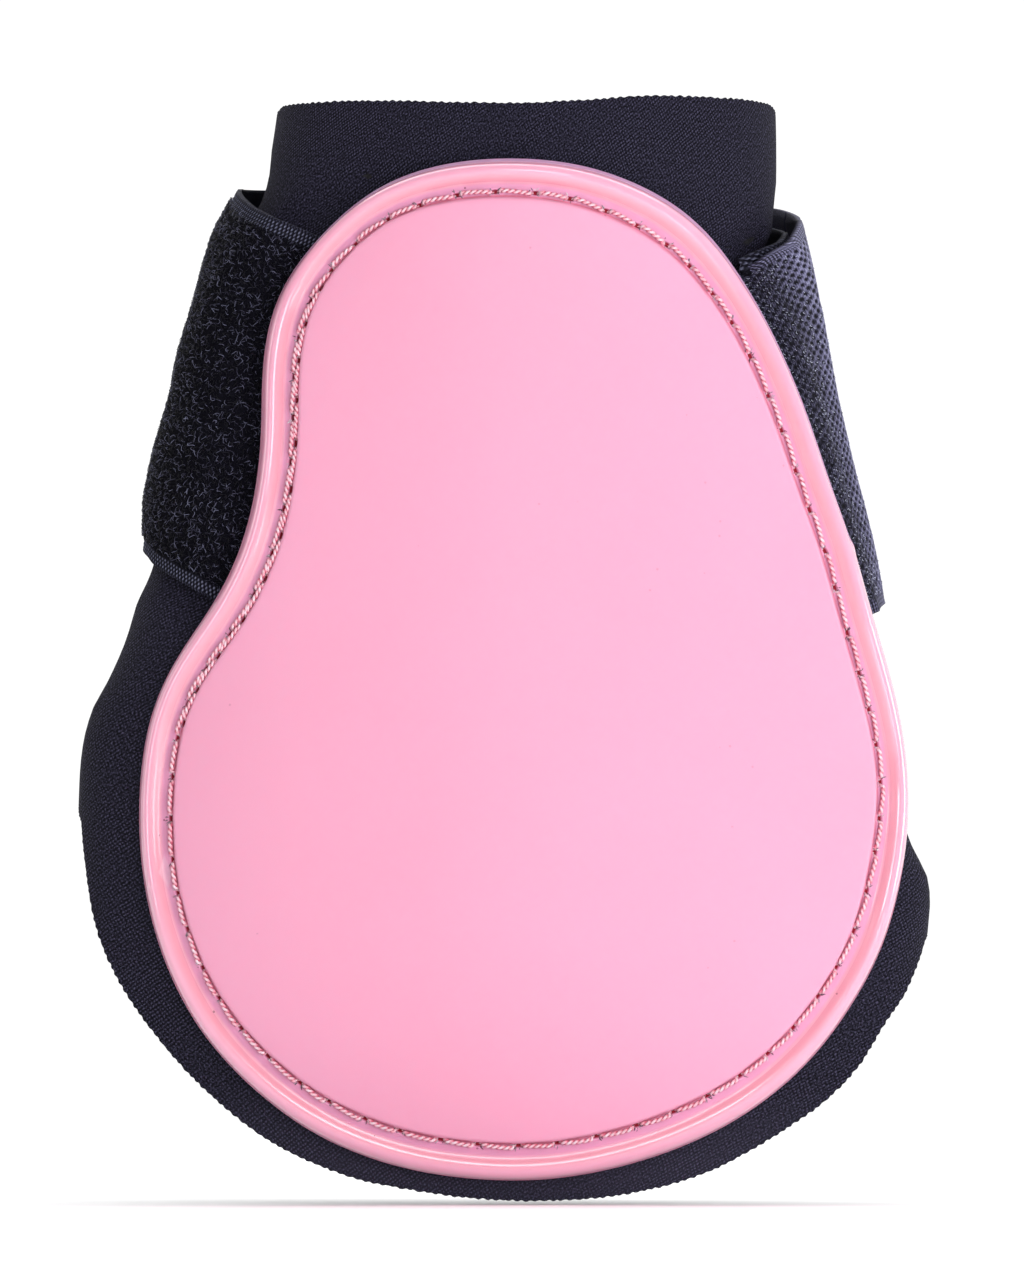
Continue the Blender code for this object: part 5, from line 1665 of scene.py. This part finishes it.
hook_b = tape_piece("hook_tape_back", HOOK, spaced((L_HOOK_MID, HOOK.length - 1e-6, 0.34)),
                    spaced((0, 1, 0.34 / WIDTH / MM)), hook_relief, MAT_HOOK, 0.82 * MM, 0.12 * MM, 0.0)


def mean_at(strap, l):
    return strap.scatter(np.array([l]), np.array([0.5]), 0.0)[0]


# the joints' own axes and, for the hook strap's root, a point on the axis
AXIS_HOOK = np.array([0.294379, 0.162472, -0.941777])
ON_HOOK = np.array([0.044822, -0.017018, 0.103752])
AXIS_UNROLL = np.array([0.121261, 0.028478, -0.992212])
AXIS_LOOP = np.array([0.256486, 0.0, 0.966548])


def bend_tape(ob, strap, l, half, axis, mid=None):
    """Works out a fold direction beside the joint's axis, then only bakes the object's transform; the tape is not
    folded.
    """
    p0 = mean_at(strap, l - half)
    p1 = mean_at(strap, l + half)
    d = p1 - p0
    d = d - axis * (d @ axis)
    mid = mean_at(strap, l) if mid is None else mid
    d = d / np.linalg.norm(d) * half
    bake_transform(ob)


def tapes_done():
    bend_tape(loop_a, LOOP, L_LOOP_BEND, 3.0 * MM, AXIS_LOOP)
    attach(loop_b, "loop_strap")
    bend_tape(hook_a, HOOK, L_HOOK_BEND, 1.8 * MM, AXIS_HOOK, ON_HOOK)
    bend_tape(hook_b, HOOK, L_HOOK_BEND2, 2.5 * MM, AXIS_UNROLL)


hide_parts("loop_strap_root")
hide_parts("loop_strap_free")
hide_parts("hook_strap_root", "hook_strap_side")
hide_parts("hook_strap_end")


def curls(strap, l, m, lit, size, seed, foot, rings=6):
    """Small curly loops standing on the tape at (l, m)."""
    r = np.random.default_rng(seed)
    n = len(l)
    P, N, T, B = strap.points(l * MM, m / WIDTH, np.full(n, foot))
    a = r.random(n) * 2 * math.pi
    d1 = T * np.cos(a)[:, None] + B * np.sin(a)[:, None]
    d2 = np.cross(N, d1)
    s = np.linspace(0, 1, rings)[None, :, None]
    ln = (r.uniform(0.45, 1.05, n) * size * MM)[:, None, None]
    hi = (r.uniform(0.22, 0.55, n) * MM)[:, None, None]
    curl = (r.choice([-1.0, 1.0], n) * r.uniform(0.15, 0.5, n) * MM * size)[:, None, None]
    ph = (r.random(n) * 6.28)[:, None, None]
    path = (P[:, None] + d1[:, None] * ln * (s - 0.5) + N[:, None] * (hi * np.sin(math.pi * s) ** 0.6 - 0.03 * MM)
            + d2[:, None] * curl * (np.sin(4.6 * s + ph) - np.sin(ph)))
    rad = (r.uniform(0.030, 0.043, n) * MM)[:, None] * np.ones((1, rings))
    ref = unit(d2 + 0.35 * N)[:, None]
    v, q, t = tubes(path, rad, ref, 3)
    # curls marked lit get pale colours: painted highlights in the pile; the others stay dark
    shade = np.where(lit, r.uniform(0.60, 0.98, n), r.uniform(0.10, 0.46, n))
    return v, q, t, np.repeat(shade, 3 * rings)


def pile_piece(name, strap, l0, l1, density, seed, foot, size=1.0, thin=None, rings=6):
    r = np.random.default_rng(seed)
    cell = density ** -0.5
    a, b = np.meshgrid(np.arange(int((l1 - l0) / MM / cell)), np.arange(int((WIDTH - 3.1) / cell)), indexing="ij")
    a, b = a.ravel(), b.ravel()
    n = len(a)
    l = l0 / MM + (a + 0.5 + r.uniform(-0.42, 0.42, n)) * cell
    m = 1.55 + (b + 0.5 + r.uniform(-0.42, 0.42, n)) * cell
    lit = ((a + 2 * b) % 5 < 2) ^ (r.random(n) < 0.16)
    if thin is not None:
        keep = r.random(n) < thin(l, m)
        l, m, lit = l[keep], m[keep], lit[keep]
    pile = Pile()
    pile.add(*curls(strap, l, m, lit, size, seed + 1, foot, rings))
    ob = pile.done(name, [MAT_PILE])
    return ob


l_root = L_SEEN + 0.5 * MM      # pile that the shell hides isn't made
turn_l = L_LOOP_BEND + 1.0 * MM
pile_a = pile_piece("loop_pile_front", LOOP, l_root, turn_l, 3.6, 61, LOOP_FACE, 0.92, rings=5,
                    thin=lambda l, m: np.where(l * MM < turn_l - 8 * MM, 1.0, 0.6))
pile_b = pile_piece("loop_pile_side", LOOP, turn_l, L_LOOP_CUT, 2.4, 63, LOOP_FACE, rings=5)
cover = strap_split(LOOP, HOOK_END)
pile_c = pile_piece("loop_pile_back", LOOP, L_LOOP_CUT, LOOP.length - 0.3 * MM, 1.7, 65, LOOP_FACE, rings=5,
                    thin=lambda l, m: np.where(l * MM < cover + 3 * MM, 1.0, 0.42))
bend_tape(pile_a, LOOP, L_LOOP_BEND, 3.0 * MM, AXIS_LOOP)
bend_tape(pile_b, LOOP, L_LOOP_BEND, 3.0 * MM, AXIS_LOOP)
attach(pile_c, "loop_strap")


def hooks_piece(name, strap, l0, l1, seed):
    """Rows of small bent monofilament hooks on the tape's inner face."""
    r = np.random.default_rng(seed)
    pl, pm = 1.45, 1.15
    ii = np.arange(int((l0 / MM + 1.0) / pl), int((l1 / MM - 0.6) / pl))
    jj = np.arange(int((WIDTH - 5.0) / pm))
    I, J = np.meshgrid(ii, jj, indexing="ij")
    l = (I * pl + (J % 2) * pl / 2 + 0.1 * r.normal(size=I.shape)).ravel()
    m = (2.5 + J * pm + 0.06 * r.normal(size=I.shape)).ravel()
    ok = (l > l0 / MM + 0.3) & (l < l1 / MM - 0.3)
    l, m = l[ok], m[ok]
    J = J.ravel()[ok]
    n = len(l)
    P, N, T, B = strap.points(l * MM, m / WIDTH, np.full(n, 0.14 * MM))
    N = -N
    way = np.where(J % 4 < 2, 1.0, -1.0)[:, None]
    a = np.array([0, 0.25, 0.5, 0.68, 0.84, 0.95, 1.0])
    up = np.array([-0.05, 0.22, 0.44, 0.60, 0.62, 0.50, 0.38]) * MM
    fw = np.array([0.0, 0.0, 0.03, 0.14, 0.33, 0.42, 0.40]) * MM
    path = P[:, None] + N[:, None] * up[None, :, None] + (T * way)[:, None] * fw[None, :, None]
    path = path + (B * (r.normal(size=n) * 0.04 * MM)[:, None])[:, None] * a[None, :, None]
    ref = np.broadcast_to(B[:, None], path.shape)
    v, q, t = tubes(path, 0.085 * MM, ref, 4)
    pile = Pile()
    pile.add(v, q, t, np.repeat(np.clip(r.normal(0.4, 0.2, n), 0, 1), 28))
    ob = pile.done(name, [MAT_MONO])
    return ob


hooks_a = hooks_piece("hooks_side", HOOK, L_HOOK_BEND + 5.5 * MM, L_HOOK_MID, 71)
hooks_b = hooks_piece("hooks_back", HOOK, L_HOOK_MID, HOOK.length - 0.5 * MM, 72)
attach(hooks_a, "hook_strap_side")
bend_tape(hooks_b, HOOK, L_HOOK_BEND2, 2.5 * MM, AXIS_UNROLL)


def glint_piece(name, strap, l0, l1, seed):
    """Turns of the hook monofilament that show on the outer face, mostly
    where the tape leaves the shell."""
    r = np.random.default_rng(seed)
    pl, pm = PIT_L / 2.4, PIT_M / 2.4
    i, j = np.meshgrid(np.arange(int(l0 / MM / pl), int(l1 / MM / pl)), np.arange(3, int(WIDTH / pm) - 2), indexing="ij")
    i, j = i.ravel(), j.ravel()
    l = i * pl + 0.10 * r.normal(size=len(i))
    m = (j + 0.5 * (i % 2)) * pm + 0.10 * r.normal(size=len(i))
    far = np.clip((l - l0 / MM - 4.5) / 6.0, 0, 1)
    keep = (r.random(len(l)) > 0.08 + 0.89 * far) & (l * MM > l0) & (m > 1.7) & (m < WIDTH - 1.7)
    l, m = l[keep], m[keep]
    n = len(l)
    P, N, T, B = strap.points(l * MM, m / WIDTH, np.full(n, 0.86 * MM))
    a = r.normal(0.95, 0.65, n)
    d = T * np.cos(a)[:, None] + B * np.sin(a)[:, None]
    f = np.linspace(0, 1, 6)[None, :, None]
    ln = (r.uniform(0.15, 0.34, n) * MM)[:, None, None]
    path = P[:, None] + d[:, None] * ln * (f - 0.5) + N[:, None] * (0.17 * MM * np.sin(math.pi * f) - 0.05 * MM)
    ref = unit(np.cross(N, d) + 0.3 * N)[:, None]
    v, q, t = tubes(path, 0.05 * MM, ref, 5)
    pile = Pile()
    pile.add(v, q, t, np.repeat(np.clip(r.normal(0.58, 0.36, n), 0, 1), 30))
    ob = pile.done(name, [MAT_MONO])
    return ob


glints = glint_piece("hook_turns_side", HOOK, HOOK.length_at(1.0) + 0.2 * MM, HOOK.length_at(1.0) + 16 * MM, 81)
bend_tape(glints, HOOK, L_HOOK_BEND, 1.8 * MM, AXIS_HOOK, ON_HOOK)


def fray_piece():
    """Loose ends of yarn at the loop tape's cut end."""
    r = np.random.default_rng(91)
    n = 46
    m = np.concatenate([r.uniform(0.1, 3.0, 14), r.uniform(0.2, WIDTH - 0.3, n - 14)])
    l = np.full(n, LOOP.length / MM - 0.25)
    P, N, T, B = LOOP.points(l * MM, m / WIDTH, r.uniform(0.1, 0.6, n) * MM)
    s = np.linspace(0, 1, 7)[None, :, None]
    ln = (r.uniform(0.25, 1.3, n) * MM)[:, None, None]
    c1 = (r.normal(0, 0.35, n) * MM)[:, None, None]
    c2 = (r.uniform(-0.1, 0.5, n) * MM)[:, None, None]
    path = P[:, None] + T[:, None] * ln * s + B[:, None] * c1 * s**2 + N[:, None] * c2 * s**1.5
    v, q, t = tubes(path, 0.035 * MM, unit(B + 0.3 * N)[:, None], 4)
    pile = Pile()
    pile.add(v, q, t, np.repeat(np.clip(r.normal(0.7, 0.2, n), 0, 1), 28))
    ob = pile.done("loop_tape_fray", [MAT_PILE])
    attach(ob, "loop_strap")


fray_piece()
tapes_done()

for name in ("loop_strap_tack_thread", "hook_strap_tack_thread"):
    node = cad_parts[name]
    if not node.material_slots:
        node.data.materials.append(MAT_TACK)
    for slot in node.material_slots:
        slot.material = MAT_TACK

# =====================================================================
# floor, light and camera
# =====================================================================
def stage_floor():
    """A plain pale floor."""
    xs = np.linspace(-4.5, 4.5, 13)
    ys = np.concatenate([np.linspace(-4.5, 0.0, 8), [0.3, 0.6, 0.85]])
    v = np.array([[[x, y, -0.0006] for x in xs] for y in ys])
    m = Mat("paper_floor", rough=0.9, spec=0.1)
    m.colour(m.mix(m.noise(m.coord(), 3.0, 2.0), (0.93, 0.93, 0.935), (0.95, 0.95, 0.95)))
    m.normal(m.bump(m.noise(m.coord(), 1400.0), 0.05, 0.0002))
    ob = mesh_object("floor", v.reshape(-1, 3), grid_quads(len(ys), len(xs)), None, [m.m])


stage_floor()

world = bpy.data.worlds.new("studio")
bpy.context.scene.world = world
world.use_nodes = True
wb = world.node_tree.nodes["Background"]
wb.inputs[0].default_value = (1.0, 1.0, 1.0, 1)
# a room that is brightest behind the object, like a lit backdrop
_way = world.node_tree.nodes.new("ShaderNodeTexCoord")
_cut = world.node_tree.nodes.new("ShaderNodeVectorMath")
_cut.operation = "DOT_PRODUCT"
_cut.inputs[1].default_value = (0.5, 0.86, 0.0)
_map = world.node_tree.nodes.new("ShaderNodeMapRange")
_map.interpolation_type = "SMOOTHSTEP"
for _k, _val in enumerate((-0.4, 0.6, 0.38, 1.06)):
    _map.inputs[_k + 1].default_value = _val
world.node_tree.links.new(_way.outputs["Generated"], _cut.inputs[0])
world.node_tree.links.new(_cut.outputs["Value"], _map.inputs[0])
world.node_tree.links.new(_map.outputs[0], wb.inputs[1])


def area(name, loc, target, size, power, size_y=None, colour=(1, 1, 1)):
    data = bpy.data.lights.new(name, "AREA")
    data.shape = "RECTANGLE"
    data.size, data.size_y = size, size_y or size
    data.energy = power
    data.color = colour
    ob = bpy.data.objects.new(name, data)
    bpy.context.scene.collection.objects.link(ob)
    ob.location = loc
    ob.rotation_euler = (Vector(target) - Vector(loc)).to_track_quat("-Z", "Y").to_euler()
    return ob


MID = (0.0, 0.0, 0.075)
box = area("key_right", (0.95, -0.95, 0.50), MID, 0.6, 7.4, 0.8)
box.visible_glossy = False
box = area("front_fill", (0.3, -1.4, 0.22), MID, 0.8, 6.6, 0.8)
box.visible_glossy = False
box = area("front_low", (0.35, -0.9, 0.05), MID, 0.5, 2.6, 0.08)
box.visible_glossy = False
area("front_top", (0.10, -1.2, 0.46), MID, 0.36, 1.5, 0.22)
area("floor_wash", (0.0, 0.5, 1.1), (0.0, 0.5, 0.0), 1.6, 12.0, 1.0)
# strips that only show as lines in the glossy bead
box = area("box_left", (-1.1, -0.10, 0.26), MID, 0.36, 1.7, 0.70)
box.visible_diffuse = False
box = area("box_left_front", (-0.60, -0.92, 0.20), MID, 0.08, 1.5, 0.50)
box.visible_diffuse = False
box = area("box_right", (1.1, -0.08, 0.14), MID, 0.34, 3.2, 0.45)
box.visible_diffuse = False
box = area("box_low_right", (0.56, -0.95, 0.08), MID, 0.13, 0.34, 0.16)
box.visible_diffuse = False

DIST = 6.0
cam_data = bpy.data.cameras.new("camera")
cam = bpy.data.objects.new("camera", cam_data)
bpy.context.scene.collection.objects.link(cam)
bpy.context.scene.camera = cam
cam_data.sensor_width = 36.0
cam_data.sensor_fit = "AUTO"
cam_data.lens = 36.0 * DIST / (1280 * GRID)
cam_data.clip_start, cam_data.clip_end = 0.1, 60.0
cam.location = (gx(512), -DIST, gz(640))
cam.rotation_euler = (math.pi / 2, 0, 0)

bpy.context.scene.view_settings.view_transform = "Standard"
bpy.context.scene.view_settings.look = "None"
